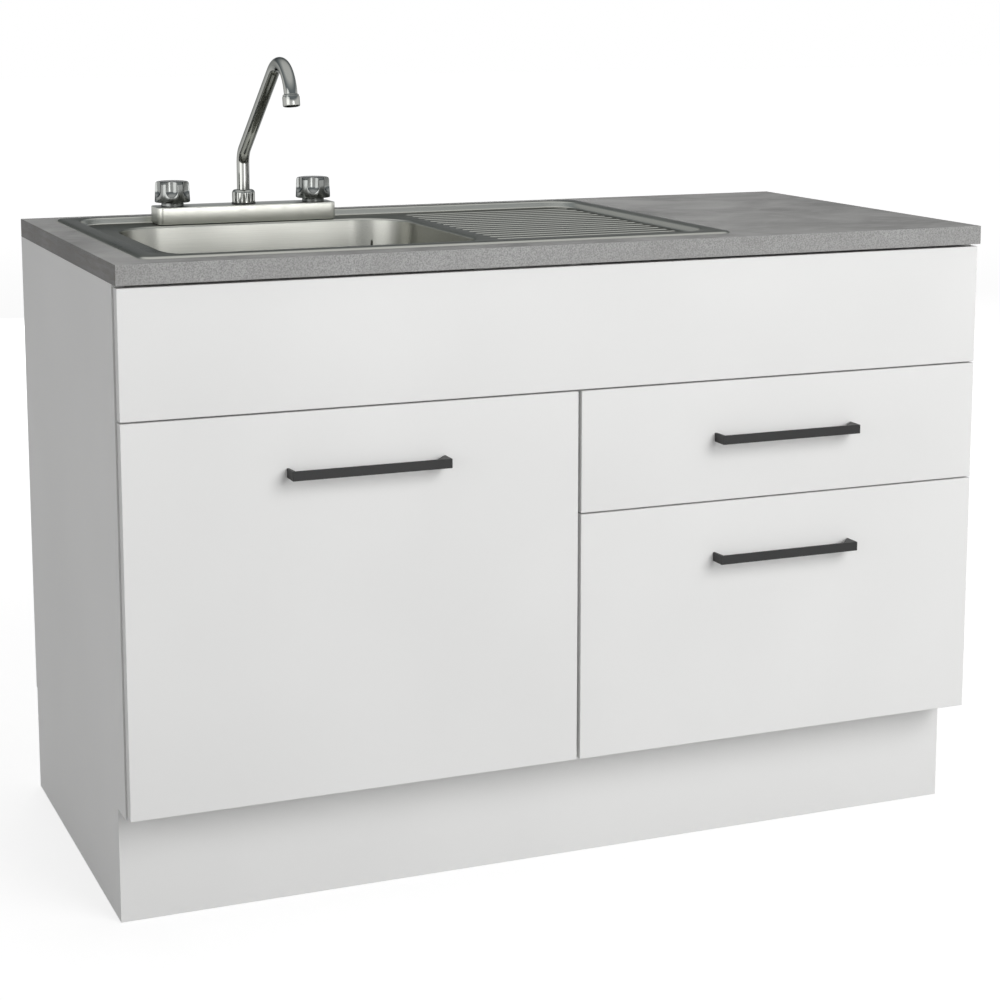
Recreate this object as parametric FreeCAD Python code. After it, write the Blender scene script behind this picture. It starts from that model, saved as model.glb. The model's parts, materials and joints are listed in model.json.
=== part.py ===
"""Kitchen sink unit: white cabinet, worktop, pressed sink, mixer tap, door and two drawers.

Drawn in the worktop frame: X from the unit's left side, Y from the worktop's front edge
towards the wall, Z up from the floor, all in mm.  Every solid is moved to the frame whose
origin is the middle of the unit's footprint when it is written.
"""
import FreeCAD, Part
import math
import os

V = FreeCAD.Vector
NOWHERE = V(0, 0, 0)
RIGHT = V(1, 0, 0)
TO_WALL = V(0, 1, 0)
UP = V(0, 0, 1)
LEFT_AND_RIGHT = (-1.0, 1.0)

# ---------------------------------------------------------------- cabinet
WIDTH = 1200.0                  # unit and worktop, left to right
DEPTH = 600.0                   # worktop, front edge to wall
PLINTH_H = 150.0                # floor to the underside of the cabinet
CARCASS_H = 662.0               # cabinet side panels
TOP_T = 25.0                    # worktop
BOARD = 16.0                    # melamine-faced board
BACK_T = 3.0                    # hardboard back panel
BACK_SET = 21.6                 # front face of the back panel in front of the wall
GROOVE_IN = 8.0                 # depth of the back panel's grooves
GROOVE_FIT = 0.2
REAR_RAIL_H = 100.0
FRONT_RAIL_D = 80.0
FIX_HOLE_R = 3.5                # wall-fixing holes in the rear rail
FIX_SPAN = 400.0
PLINTH_SET = 66.5               # plinth front behind the worktop's front edge
PLINTH_BACK = 2.5               # plinth rear in front of the wall
PLINTH_IN = 0.5                 # plinth ends inside the unit's sides
BRACKET_T = 2.0                 # angle brackets of the blind panel
BRACKET_H = 60.0
BRACKET_LEG = 36.0
BRACKET_ARM = 24.0
BRACKET_UP = 50.0               # bracket above the blind panel's lower edge
BRACKET_HOLES = (12.0, 48.0)    # screw holes above the bracket's foot
BRACKET_HOLE_X = 14.0
SCREW_R = 2.2                   # clearance hole of a 4 mm screw

# ---------------------------------------------------------------- fronts and handles
FRONT_SET = 4.0                 # front faces behind the worktop's front edge
FRONT_GAP = 2.0                 # back of a front to the cabinet's front edge
SIDE_SET = 2.0                  # outer edges of the fronts inside the unit's sides
CENTRE_GAP = 4.6                # between door and drawers
CENTRE_SHIFT = 0.1              # centre gap left of the unit's middle
TOP_GAP = 3.5                   # worktop to the blind panel
BLIND_H = 160.0                 # blind panel
ROW_GAP = 2.2                   # between fronts one above the other
LOW_EDGE = 3.4                  # lowest front edge above the cabinet's underside
UPPER_H = 160.5                 # upper drawer front
EDGE_R = 0.8                    # broken edge of every front
HANDLE_L = 208.0                # handles: length, height, projection
HANDLE_H = 12.0
HANDLE_OUT = 25.0
HANDLE_BAR = 4.0                # thickness of the bar
HANDLE_LEG_ROOT = 3.0           # slim leg at the front panel
HANDLE_LEG_BAR = 5.0            # slim leg at the bar
HANDLE_WEDGE = 17.5             # sideways run of the wedge leg
HANDLE_TOE = 2.0                # wedge leg where it meets the front panel
HANDLE_EDGE_R = 1.0
DOOR_HANDLE_X = 310.4           # centre of the door handle
DRAWER_HANDLE_X = 899.4         # centre of both drawer handles
HIGH_HANDLE_Z = 571.6           # centre height, door and upper drawer
LOW_HANDLE_Z = 409.5            # centre height, lower pull-out
BUFFER_R = 4.0                  # soft buffers behind the door
BUFFER_FREE = 0.3               # buffer to the shut door
BUFFER_IN = 40.0                # buffers from the door's upper and lower edges
BUFFER_X = 5.0                  # buffers either side of the unit's middle

# ---------------------------------------------------------------- sink
SHEET = 1.0                     # sink sheet
SINK_X = 41.0                   # left outer edge of the sink
SINK_MARGIN = 41.0              # worktop in front of and behind the sink
SINK_W = 798.0
SINK_R = 16.0                   # outer corner
BEAD_W = 6.5                    # width of the sloping bead
BEAD_STEP = 2.6                 # steep outer part of the bead: run and rise
BEAD_RISE = 2.1
RIM_H = 3.0                     # rim above the worktop
RIM_W = 21.5                    # outer edge to the inner edge of the flat rim
RECESS_R = 42.0                 # inner corner of the rim
RECESS_DROP = 9.0               # rim top to recess floor
RECESS_RUN = 3.0                # sideways run of the recess wall
BOWL_LEFT = 59.0                # bowl opening inside the sink's left, front and rear edges
BOWL_FRONT = 69.0
BOWL_LEDGE = 76.0
BOWL_W = 421.0
BOWL_R = 75.0                   # plan corner of the bowl
BOWL_DEEP = 150.0               # recess floor to bowl bottom
BOWL_DRAFT = 8.0                # bottom smaller than the opening, per side
BOWL_FOOT_R = 28.0              # bowl wall into bottom
LIP_R = 3.5                     # rolled lip of the bowl
GROOVES = 16                    # drainer grooves
GROOVE_FRONT = 85.5             # front groove inside the sink's front edge
GROOVE_REAR = 56.0              # rear groove inside the sink's rear edge
GROOVE_START = 22.5             # bowl opening to the rounded left ends
GROOVE_END = 5.0                # right end to the recess wall
GROOVE_W = 10.0
GROOVE_DEEP = 2.0
GROOVE_LEAN = 1.8               # sideways run of a groove's wall
OVERFLOW_ANGLE = 62.0           # direction of the overflow slot on the corner arc
OVERFLOW_W = 3.0
OVERFLOW_H = 25.0
OVERFLOW_TOP = 31.0             # top of the slot below the recess floor
WASTE_HOLE_R = 45.0             # hole in the bowl bottom
SEAL_W = 4.5
SEAL_FREE = 1.0                 # seal inside the bead
CLIP_W = 12.0                   # hook clips between sink and worktop
CLIP_T = 1.6
CLIP_FOOT = 16.0                # foot under the recess floor
CLIP_REACH = 22.0               # claw past the cut-out's edge
CLIP_DROP = 6.0                 # claw arm below the worktop
CLIP_SCREW_R = 2.5
CLIP_SCREW_L = 16.0
CLIP_SCREW_X = -10.0
CLIP_IN = 2.0                   # clip inside the recess wall
CLIP_SHARES = (0.17, 0.45, 0.86)    # front clips along the sink's width
CLIP_TAP_OFF = 60.0             # rear left clip beside the left knob's axis

# ---------------------------------------------------------------- waste and overflow
WASTE_FLANGE_R = 57.0
WASTE_FLANGE_T = 1.6
WASTE_CUP_R = 43.0              # outside of the waste body under the bowl
WASTE_CUP_DEEP = 52.0
WASTE_TAIL_R = 20.5
WASTE_TAIL_L = 36.0
WASTE_WALL = 2.2
WASTE_SHOULDER = 14.0           # slope between cup and tail
PORT_DROP = 33.0                # overflow port below the bowl bottom
PORT_R = 12.0
PORT_OUT = 16.0                 # port past the cup's wall
PORT_SOCKET = 6.0               # depth that the overflow pipe pushes in
WASTE_NUT_T = 10.0
WASTE_NUT_WALL = 8.0
WASTE_WASHER_T = 2.0
WASTE_LUGS = 6
BASKET_DEEP = 30.0
BASKET_WALL = 1.2
BASKET_TOP = 2.4                # basket rim above the bowl bottom
BASKET_FREE = 3.0               # basket to the waste body, on the radius
BASKET_RIM = 3.5
BASKET_STEM_R = 4.0
BASKET_KNOB_R = 9.0
BASKET_HOLE_R = 1.8
BASKET_RINGS = ((12.0, 8), (20.0, 14), (28.0, 20))      # radius and count of the holes
OVERFLOW_PIPE_R = 10.0
OVERFLOW_BORE_R = 7.8
OVERFLOW_BEND = 30.0
SPIGOT_R = 7.6                  # elbow spigot inside the overflow pipe
SPIGOT_BORE_R = 6.0
SPIGOT_OUT = 17.0               # spigot axis outside the bowl wall
SPIGOT_LOW = 38.0               # spigot end below the slot's centre
SPIGOT_L = 30.0
ELBOW_FLANGE = (3.0, 22.0, 36.0)    # thickness, width, height
ELBOW_BOX = (26.0, 16.0, 30.0)      # reach, width, height
ELBOW_R = 2.0
SLIP_NUT_RIBS = 10
RIB_HALF = 1.8
RIB_OUT = 2.0

# ---------------------------------------------------------------- bottle trap
TRAP_R = 31.0
TRAP_WALL = 2.5
TRAP_HEAD_H = 68.0
TRAP_OUTLET_UP = 42.0           # outlet axis above the head's underside
TRAP_SOCKET_H = 16.0
TRAP_CUP_H = 76.0
TRAP_COLLAR = 14.0              # cup's collar round the head
TRAP_COLLAR_WALL = 2.9
TRAP_RIBS = 12
DIP_R = 15.0                    # dip tube
DIP_BORE_R = 13.0
DIP_DEEP = 45.0
PIPE_R = 20.0                   # 40 mm waste pipe
PIPE_WALL = 2.0
PIPE_IN = 34.0                  # end pushed into the trap
PIPE_SOCKET_WALL = 5.0
PUSH_FIT = 0.3                  # pushed-in round parts, on the radius
NUT_IN = 16.0                   # slip nut over the socket
INLET_NUT_L = 20.0
OUTLET_NUT_L = 22.0
NUT_WALL = 3.3
NUT_LIP = 3.0                   # lip of a slip nut round the pushed-in part

# ---------------------------------------------------------------- tap
TAP_X = 300.6                   # tap axis
TAP_LEDGE = 49.0                # tap axis inside the sink's rear edge
BLOCK_W = 260.0
BLOCK_D = 50.0
BLOCK_SHIFT = 1.0               # block's middle in front of the tap axis
BLOCK_TOP = 25.0                # block top above the recess floor
BLOCK_R = 8.0
BLOCK_TOP_EDGE = 1.2
BLOCK_LOW_EDGE = 0.9
WATERWAY_R = 3.5
WATERWAY_DROP = 14.0            # waterway below the block's top
RISER_BORE_R = 5.0
GASKET_T = 0.8
GASKET_IN = 2.0
TAP_HOLE_FIT = 0.8              # inlet shank in the sink and gasket
KNOB_OFF = 103.5                # knob axes either side of the tap axis
KNOB_H = 29.2
KNOB_R_LOW = 24.85
KNOB_R_TOP = 23.5
KNOB_TOP_R = 3.5                # rounded upper and lower rims
KNOB_LOW_R = 1.0
KNOB_HOLLOW_R = 13.0
KNOB_HOLLOW = 13.0
SPINDLE_BORE = 22.5
KNOB_SCREW_R = 3.0
KNOB_SCREW_DEEP = 2.5
FLUTES = 6
FLUTE_R = 12.0
FLUTE_CENTRE = 30.9             # flute axis from the knob axis
FLUTE_FOOT = 5.5                # flute bottom above the knob's underside
FLUTE_TURN = 14.5               # first flute's direction, degrees
COLLAR_R = 15.65
COLLAR_H = 5.5
HEAD_R = 10.0                   # headwork in the block
HEAD_DEEP = 17.5
HEAD_UP = 1.0                   # headwork above the collar
HEAD_FLATS = 15.0
HEAD_HEX_H = 5.0
HEAD_PORT = (3.0, 8.0)          # radius and depth
SPINDLE_R = 4.0
SPINDLE_L = 22.0                # spindle above the collar
SPOUT_R = 9.0
SPOUT_BORE_R = 7.5
SPOUT_SEAT = 16.0               # depth of the spout's seat in the block
CORNER_Z = 71.0                 # crossing of riser and incline above the block top
CORNER_R = 28.0                 # bend at that crossing
INCLINE = 37.34                 # degrees above horizontal
HOOK_R = 48.7
HOOK_OUT = 189.3                # hook centre in front of the tap axis
HOOK_END = 11.5                 # end of the hook before vertical, degrees
AERATOR_R = 11.5
AERATOR_L = 16.0
AERATOR_EDGE = 1.2
AERATOR_WALL = 2.5
AERATOR_HOLLOW = 7.0
SIEVE_R = 4.0
RING_R = 17.05
RING_H = 2.0
NUT_R = 16.3
NUT_TOP = 20.3                  # spout nut top above the block top
NUT_TOP_R = 5.0
NUT_FLUTES = 16
NUT_FLUTE_R = 1.6
NUT_FLUTE_OUT = 0.9             # flute axis outside the nut
FLANGE_R = 12.0                 # spout's own flange under the nut
FLANGE_UP = 3.0                 # flange above the block top, and its thickness
INLET_R = 10.48                 # G1/2 thread, outside
INLET_NECK_R = 10.2             # plain neck in the block
INLET_BORE_R = 6.5
INLET_L = 46.0
INLET_FREE = 30.0               # thread left free for the supply hose
INLET_IN = 3.9                  # shank let into the block
THREAD_FIT = 0.02
BACKNUT_FLATS = 27.0
BACKNUT_H = 7.5
BACKNUT_WASHER_R = 15.5
BACKNUT_WASHER_T = 1.5

# ---------------------------------------------------------------- hinges
HINGE_Z = (245.0, 555.0)        # heights of the two hinges
CUP_R = 17.5
CUP_DEEP = 11.5
CUP_IN = 22.5                   # cup centre from the door edge
CUP_WALL = 1.0
CUP_FIT = 0.1
EAR_W = 22.0
EAR_H = 64.0
EAR_R = 8.0
EAR_HOLE = 24.0                 # screws above and below the cup's centre
SEAT = (2.0, 13.0, 7.0)         # link seat in the cup: from, to, half height
PLATE_T = 2.5                   # hinge plate on the side panel
PLATE_Y = 37.0                  # plate's centre behind the cabinet's front edge
PLATE_D = 24.0
PLATE_H = 60.0
PLATE_HOLE = 22.0
PLATE_HOLE_R = 2.6
SADDLE = (8.0, 32.0, 12.0)      # height, depth, width of the raised saddle
ARM_IN = 7.0                    # arm above the side panel: underside and top
ARM_OUT = 15.0
ARM_H = 18.0
ARM_R = 3.0
ARM_FRONT = 0.4                 # arm behind the cabinet's front edge
ARM_TAIL = 22.0                 # arm behind the plate's centre

# ---------------------------------------------------------------- drawers and runners
RUNNER_GAP = 12.5               # drawer side to cabinet side
RUNNER_BACK = 100.0             # worktop depth not used by the runners
BOX_SIDE_UP = 110.0             # height of the upper drawer box
BOX_SIDE_LOW = 200.0
BOX_UP_Z = 506.0                # underside of the upper box
BOX_LOW_Z = 184.0
BOX_BOTTOM_T = 4.0
BOX_BOTTOM_UP = 10.0
BOX_GROOVE = 6.0
STEEL = 1.2                     # runner sheet
ROLLER_R = 11.0                 # cabinet roller
TAIL_ROLLER_R = 9.5             # drawer roller
ROLLER_W = 7.6
ROLLER_EDGE = 0.6
ROLLER_FREE = 0.5               # roller to the web beside it
STUD_R = 2.5
STUD_HEAD = 1.4                 # stud past its roller
EAR_SHARE = 0.8                 # pressed ear behind a stud, of the roller's radius
RIDE_Z = 16.0                   # ride flange above the box underside
RIDE_DROP = 3.2                 # drawer roller below the ride flange
SOLE_W = 12.0                   # drawer rail under the box side
SOLE_SET = 4.0                  # drawer rail behind the front's back face
RAIL_SET = 3.0                  # cabinet rail behind the cabinet's front edge
RAIL_FREE = 2.6                 # cabinet rail to the box side
RIDE_FREE = 2.0                 # ride flange to the cabinet side
CHANNEL_SET = 30.2              # channel behind the cabinet rail's front end
CHANNEL_FREE = 0.6              # roof of the channel above the drawer roller
ROLLER_SET = 5.0                # cabinet roller behind the rail's front end
TAIL_SET = 14.0                 # drawer roller in front of the rail's rear end

# ---------------------------------------------------------------- clearances
RUN_FIT = 0.05                  # turning fit, on the radius
LOOSE = 0.3                     # between round faces of different bodies
CUT_GAP = 5.0                   # worktop cut-out outside the recess wall
RIDE_FIT = 0.15                 # roller to the flange it carries
PAST = 1.0                      # cutters past the face that they open

# ---------------------------------------------------------------- derived positions
CARCASS_TOP = PLINTH_H + CARCASS_H
TOP_Z = CARCASS_TOP + TOP_T
FRONT_BACK = FRONT_SET + BOARD                  # back face of every front
CARCASS_Y = FRONT_BACK + FRONT_GAP              # front edge of the cabinet boards
BACK_Y = DEPTH - BACK_SET                       # front face of the back panel
RIM_TOP = TOP_Z + RIM_H
DECK_Z = RIM_TOP - RECESS_DROP                  # recess floor
BOWL_Z = DECK_Z - BOWL_DEEP
BLOCK_Z = DECK_Z + GASKET_T
BLOCK_TOP_Z = DECK_Z + BLOCK_TOP
MID = WIDTH / 2.0
GAP_X0 = MID - CENTRE_GAP / 2.0 - CENTRE_SHIFT  # right edge of the door
GAP_X1 = MID + CENTRE_GAP / 2.0 - CENTRE_SHIFT  # left edge of the drawers
BLIND_TOP = CARCASS_TOP - TOP_GAP
BLIND_Z = BLIND_TOP - BLIND_H
FRONTS_TOP = BLIND_Z - ROW_GAP
FRONTS_LOW = PLINTH_H + LOW_EDGE
UPPER_Z = FRONTS_TOP - UPPER_H
LOWER_TOP = UPPER_Z - ROW_GAP
BAY_L0 = BOARD                                  # left bay between side and partition
BAY_L1 = MID - BOARD / 2.0
BAY_R0 = MID + BOARD / 2.0
BAY_R1 = WIDTH - BOARD
RAIL_Z = BLIND_Z - BOARD / 2.0                  # underside of the front rails
FLOOR_Z = PLINTH_H + BOARD                      # upper face of the bottom panel
SINK_Y = SINK_MARGIN
SINK_X1 = SINK_X + SINK_W
SINK_Y1 = DEPTH - SINK_MARGIN
RECESS_X0 = SINK_X + RIM_W
RECESS_X1 = SINK_X1 - RIM_W
RECESS_Y0 = SINK_Y + RIM_W
RECESS_Y1 = SINK_Y1 - RIM_W
BOWL_X = SINK_X + BOWL_LEFT
BOWL_Y = SINK_Y + BOWL_FRONT
BOWL_X1 = BOWL_X + BOWL_W
BOWL_Y1 = SINK_Y1 - BOWL_LEDGE
BOWL_CX = (BOWL_X + BOWL_X1) / 2.0
BOWL_CY = (BOWL_Y + BOWL_Y1) / 2.0
GROOVE_Y = SINK_Y + GROOVE_FRONT
GROOVE_PITCH = (SINK_Y1 - GROOVE_REAR - GROOVE_Y) / (GROOVES - 1)
GROOVE_X0 = BOWL_X1 + GROOVE_START
WASTE_FOOT = BOWL_Z - WASTE_CUP_DEEP
WASTE_TAIL_Z = WASTE_FOOT - WASTE_TAIL_L
TRAP_TOP_Z = WASTE_TAIL_Z - 1.0
TRAP_LOW_Z = TRAP_TOP_Z - TRAP_HEAD_H
OUTLET_Z = TRAP_LOW_Z + TRAP_OUTLET_UP
OUTLET_Y = BOWL_CY + TRAP_R - 8.0               # root of the outlet socket
PORT_Z = BOWL_Z - PORT_DROP
TAP_Y = SINK_Y1 - TAP_LEDGE
BLOCK_X0 = TAP_X - BLOCK_W / 2.0
BLOCK_X1 = TAP_X + BLOCK_W / 2.0
BLOCK_Y0 = TAP_Y - BLOCK_D / 2.0 - BLOCK_SHIFT
BLOCK_Y1 = TAP_Y + BLOCK_D / 2.0 - BLOCK_SHIFT
KNOBS_X = (TAP_X - KNOB_OFF, TAP_X + KNOB_OFF)
KNOB_Z = BLOCK_TOP_Z + COLLAR_H + LOOSE
HANDLE_FRONT = FRONT_SET - HANDLE_OUT
RUNNER_L = DEPTH - RUNNER_BACK
BOX_X0 = BAY_R0 + RUNNER_GAP
BOX_X1 = BAY_R1 - RUNNER_GAP
BOX_Y1 = FRONT_BACK + RUNNER_L
RUNNER_Y = CARCASS_Y + RAIL_SET                 # front end of the cabinet rails
ROLLER_Y = RUNNER_Y + ROLLER_R + ROLLER_SET     # cabinet roller axis
TAIL_Y = BOX_Y1 - TAIL_SET                      # drawer roller axis, drawer shut
ORIGIN = V(-MID, -(DEPTH + HANDLE_FRONT) / 2.0, 0.0)


# ---------------------------------------------------------------- helpers
def write(node, *solids):
    """Write one node: a single solid or a group of separate solids."""
    shape = solids[0] if len(solids) == 1 else Part.makeCompound(list(solids))
    shape.translated(ORIGIN).exportStep("parts/" + node + ".step")


def block(x0, x1, y0, y1, z0, z1):
    """Straight board between six planes."""
    return Part.makeBox(x1 - x0, y1 - y0, z1 - z0, V(x0, y0, z0))


def rod(radius, length, base, axis=UP):
    """Round bar from a base point along an axis."""
    return Part.makeCylinder(radius, length, base, axis)


def tube(outer, inner, length, base, axis=UP):
    """Round tube from a base point along an axis."""
    return rod(outer, length, base, axis).cut(rod(inner, length, base, axis))


def mirror_x(shape, x):
    """Mirror image about the plane at x."""
    return shape.mirror(V(x, 0, 0), RIGHT)


def around(shape, count, x, y, start=0.0):
    """Copies of a shape drawn about the origin, set evenly round the upright axis at (x, y)."""
    copies = []
    for k in range(count):
        copy = shape.copy()
        copy.rotate(NOWHERE, UP, start + 360.0 * k / count)
        copy.translate(V(x, y, 0.0))
        copies.append(copy)
    return copies


def rounded_wire(x0, x1, y0, y1, radius, z):
    """Closed outline of a rectangle with round corners at height z."""
    quarter = 90.0
    corners = [(x1 - radius, y0 + radius, -quarter), (x1 - radius, y1 - radius, 0.0),
               (x0 + radius, y1 - radius, quarter), (x0 + radius, y0 + radius, 2.0 * quarter)]
    edges = []
    for index, (cx, cy, start) in enumerate(corners):
        edges.append(Part.makeCircle(radius, V(cx, cy, z), UP, start, start + quarter))
        nx, ny, _ = corners[(index + 1) % len(corners)]
        angle = math.radians(start + quarter)
        spoke = V(radius * math.cos(angle), radius * math.sin(angle), 0.0)
        leave = V(cx, cy, z) + spoke
        enter = V(nx, ny, z) + spoke
        if (enter - leave).Length > 0.001:
            edges.append(Part.makeLine(leave, enter))
    return Part.Wire(Part.__sortEdges__(edges))


def tray(low, high):
    """Solid between two rounded outlines, each (x0, x1, y0, y1, radius, z)."""
    return Part.makeLoft([rounded_wire(*low), rounded_wire(*high)], True, True)


def inset(outline, by, z):
    """A rounded outline (x0, x1, y0, y1, radius, z) moved inwards to another height."""
    x0, x1, y0, y1, radius, _ = outline
    return x0 + by, x1 - by, y0 + by, y1 - by, radius - by, z


def rounded_block(x0, x1, y0, y1, z0, z1, radius):
    """Board with round vertical corners."""
    return Part.Face(rounded_wire(x0, x1, y0, y1, radius, z0)).extrude(UP * (z1 - z0))


def plate(points, height, z):
    """Upright prism over a polygon of (x, y) points."""
    corners = [V(px, py, z) for px, py in points]
    return Part.Face(Part.makePolygon(corners + corners[:1])).extrude(UP * height)


def turned(profile, x, y):
    """Solid of revolution about the vertical axis at (x, y) from (radius, z) points."""
    corners = [V(x + pr, y, pz) for pr, pz in profile]
    return Part.Face(Part.makePolygon(corners + corners[:1])).revolve(V(x, y, 0), UP, 360.0)


def edges_where(shape, test):
    """The edges of a shape that pass a test."""
    return [edge for edge in shape.Edges if test(edge)]


def flat_at(edge, z):
    """Whether an edge lies in the horizontal plane at z."""
    box = edge.BoundBox
    return abs(box.ZMin - z) < 0.01 and abs(box.ZMax - z) < 0.01


def upright(edge):
    """Whether an edge is vertical."""
    box = edge.BoundBox
    return box.XLength < 0.01 and box.YLength < 0.01


def soften(shape, radius, test):
    """Fillet the edges that pass a test."""
    return shape.makeFillet(radius, edges_where(shape, test))


def hexagon(flats, height, x, y, z):
    """Hexagonal prism with the given width across flats."""
    sides = 6
    radius = flats / math.sqrt(3.0)
    angles = [2.0 * math.pi * k / sides for k in range(sides)]
    return plate([(x + radius * math.cos(a), y + radius * math.sin(a)) for a in angles], height, z)


# ---------------------------------------------------------------- worktop and sink
def make_worktop():
    """Worktop board with the rounded cut-out for the sink."""
    hole = rounded_block(RECESS_X0 - CUT_GAP, RECESS_X1 + CUT_GAP, RECESS_Y0 - CUT_GAP,
                         RECESS_Y1 + CUT_GAP, CARCASS_TOP - PAST, TOP_Z + PAST, RECESS_R)
    return block(0.0, WIDTH, 0.0, DEPTH, CARCASS_TOP, TOP_Z).cut(hole)


def sink_hollow(skin):
    """Space above the pressed sheet; skin is 0 for its top side, SHEET for its underside."""
    floor_z = DECK_Z - skin
    foot_z = BOWL_Z - skin
    wall = (RECESS_X0 - skin, RECESS_X1 + skin, RECESS_Y0 - skin, RECESS_Y1 + skin,
            RECESS_R + skin, RIM_TOP)
    recess = tray(inset(wall, RECESS_RUN, floor_z), wall)
    opening = (BOWL_X - skin, BOWL_X1 + skin, BOWL_Y - skin, BOWL_Y1 + skin, BOWL_R + skin,
               floor_z)
    bowl = tray(inset(opening, BOWL_DRAFT, foot_z), opening)
    bowl = soften(bowl, BOWL_FOOT_R + skin, lambda e: flat_at(e, foot_z))
    hollow = recess.fuse(bowl).removeSplitter()
    near = 2.0 * LIP_R
    lip = edges_where(hollow, lambda e: flat_at(e, floor_z) and e.BoundBox.XMin > BOWL_X - near
                      and e.BoundBox.XMax < BOWL_X1 + near)
    return hollow.makeFillet(LIP_R - skin, lip)


def groove(index, skin):
    """Drainer groove cutter with rounded ends."""
    y = GROOVE_Y + index * GROOVE_PITCH
    half = GROOVE_W / 2.0 + skin
    round_end = 0.98                # just under a full half circle, so that its sides stay lines
    foot = half - GROOVE_LEAN
    x0, x1 = GROOVE_X0 - skin, groove_end(y) + skin
    over = 0.001                    # so that the cutter breaks through the recess floor
    return tray((x0 + GROOVE_LEAN, x1 - GROOVE_LEAN, y - foot, y + foot, foot * round_end,
                 DECK_Z - GROOVE_DEEP - skin),
                (x0, x1, y - half, y + half, half * round_end, DECK_Z - skin + over))


def groove_end(y):
    """Right end of the groove at y, kept off the recess wall and its round corner."""
    corner = RECESS_R - RECESS_RUN
    wall = RECESS_X1 - RECESS_RUN
    reach = GROOVE_W / 2.0 + GROOVE_END
    past = max(y + reach - (RECESS_Y1 - RECESS_RUN - corner),
               (RECESS_Y0 + RECESS_RUN + corner) - (y - reach), 0.0)
    past = min(past, corner - 1.0)
    return wall - corner + math.sqrt(corner * corner - past * past) - GROOVE_END


def overflow_frame():
    """Point on the bowl corner arc and outward direction of the overflow slot."""
    angle = math.radians(OVERFLOW_ANGLE)
    out = V(math.cos(angle), math.sin(angle), 0.0)
    slot_mid = OVERFLOW_TOP + OVERFLOW_H / 2.0
    radius = BOWL_R - BOWL_DRAFT * slot_mid / BOWL_DEEP
    centre = V(BOWL_X1 - BOWL_R, BOWL_Y1 - BOWL_R, DECK_Z - slot_mid)
    return centre + out * radius, out


def at_overflow(shape):
    """Turn and move a shape drawn about the origin, looking along X, to the overflow slot."""
    point, _ = overflow_frame()
    shape.rotate(NOWHERE, UP, OVERFLOW_ANGLE)
    shape.translate(point)
    return shape


def make_rim():
    """Bead and flat rim as a hollow-backed frame, still closed in the middle."""
    foot = (SINK_X, SINK_X1, SINK_Y, SINK_Y1, SINK_R, TOP_Z)
    knee = inset(foot, BEAD_STEP, TOP_Z + BEAD_RISE)
    top = inset(foot, BEAD_W, RIM_TOP)
    under = tray(inset(foot, BEAD_STEP, TOP_Z), inset(foot, BEAD_W + SHEET, RIM_TOP - SHEET))
    return tray(foot, knee).fuse(tray(knee, top)).cut(under)


def make_sink():
    """Sheet-metal sink: bead, flat rim, recess, bowl, drainer grooves, holes."""
    outer = sink_hollow(SHEET)
    inner = sink_hollow(0.0)
    for index in range(GROOVES):
        outer = outer.fuse(groove(index, SHEET))
        inner = inner.fuse(groove(index, 0.0))
    lid = block(SINK_X, SINK_X1, SINK_Y, SINK_Y1, RIM_TOP, RIM_TOP + RECESS_DROP)
    body = make_rim().fuse(outer).cut(inner).cut(lid)
    reach = 4.0                     # of each hole's cutter, either side of the sheet
    for x in KNOBS_X:
        body = body.cut(rod(INLET_R + TAP_HOLE_FIT, 2.0 * reach, V(x, TAP_Y, DECK_Z - reach)))
    body = body.cut(rod(WASTE_HOLE_R, 2.0 * reach, V(BOWL_CX, BOWL_CY, BOWL_Z - reach)))
    slot = block(-reach, reach, -OVERFLOW_W / 2.0, OVERFLOW_W / 2.0, -OVERFLOW_H / 2.0,
                 OVERFLOW_H / 2.0)
    slot = soften(slot, OVERFLOW_W * 0.45, lambda e: e.BoundBox.XLength > reach)
    return body.cut(at_overflow(slot)).removeSplitter()


def make_seal():
    """Foam seal between the rim and the worktop."""
    out = BEAD_W + SHEET + SEAL_FREE
    inner = out + SEAL_W
    ring = rounded_block(SINK_X + out, SINK_X1 - out, SINK_Y + out, SINK_Y1 - out, TOP_Z,
                         RIM_TOP - SHEET, SINK_R - BEAD_W)
    keep = rounded_block(SINK_X + inner, SINK_X1 - inner, SINK_Y + inner, SINK_Y1 - inner,
                         TOP_Z - PAST, RIM_TOP, SINK_R - out)
    return ring.cut(keep)


def clip(x, y, turn):
    """Hook clip: foot under the recess floor, leg, claw under the worktop, screw."""
    half = CLIP_W / 2.0
    under = DECK_Z - SHEET
    low = CARCASS_TOP - CLIP_DROP
    foot = block(0.0, CLIP_FOOT, -half, half, under - CLIP_T, under)
    leg = block(0.0, CLIP_T, -half, half, low, under)
    arm = block(-CLIP_REACH, CLIP_T, -half, half, low, low + CLIP_T)
    tip = block(-CLIP_REACH, CLIP_T - CLIP_REACH, -half, half, low, CARCASS_TOP)
    screw = rod(CLIP_SCREW_R, CLIP_SCREW_L, V(CLIP_SCREW_X, 0.0, CARCASS_TOP - CLIP_SCREW_L))
    shape = foot.fuse([leg, arm, tip, screw]).removeSplitter()
    shape.rotate(NOWHERE, UP, turn)
    shape.translate(V(x, y, 0.0))
    return shape


def make_clips():
    """Eight clips: three along the front and the rear, one at each end."""
    off = RECESS_RUN + CLIP_IN
    front_xs = [SINK_X + SINK_W * share for share in CLIP_SHARES]
    rear_xs = [KNOBS_X[0] - CLIP_TAP_OFF, TAP_X, front_xs[-1]]
    between = GROOVE_Y + (GROOVES // 2 - 0.5) * GROOVE_PITCH    # between two grooves
    clips = [clip(x, RECESS_Y0 + off, 90.0) for x in front_xs]
    clips += [clip(x, RECESS_Y1 - off, -90.0) for x in rear_xs]
    clips.append(clip(RECESS_X0 + off, BOWL_CY, 0.0))
    clips.append(clip(RECESS_X1 - off, between, 180.0))
    return clips


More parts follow.
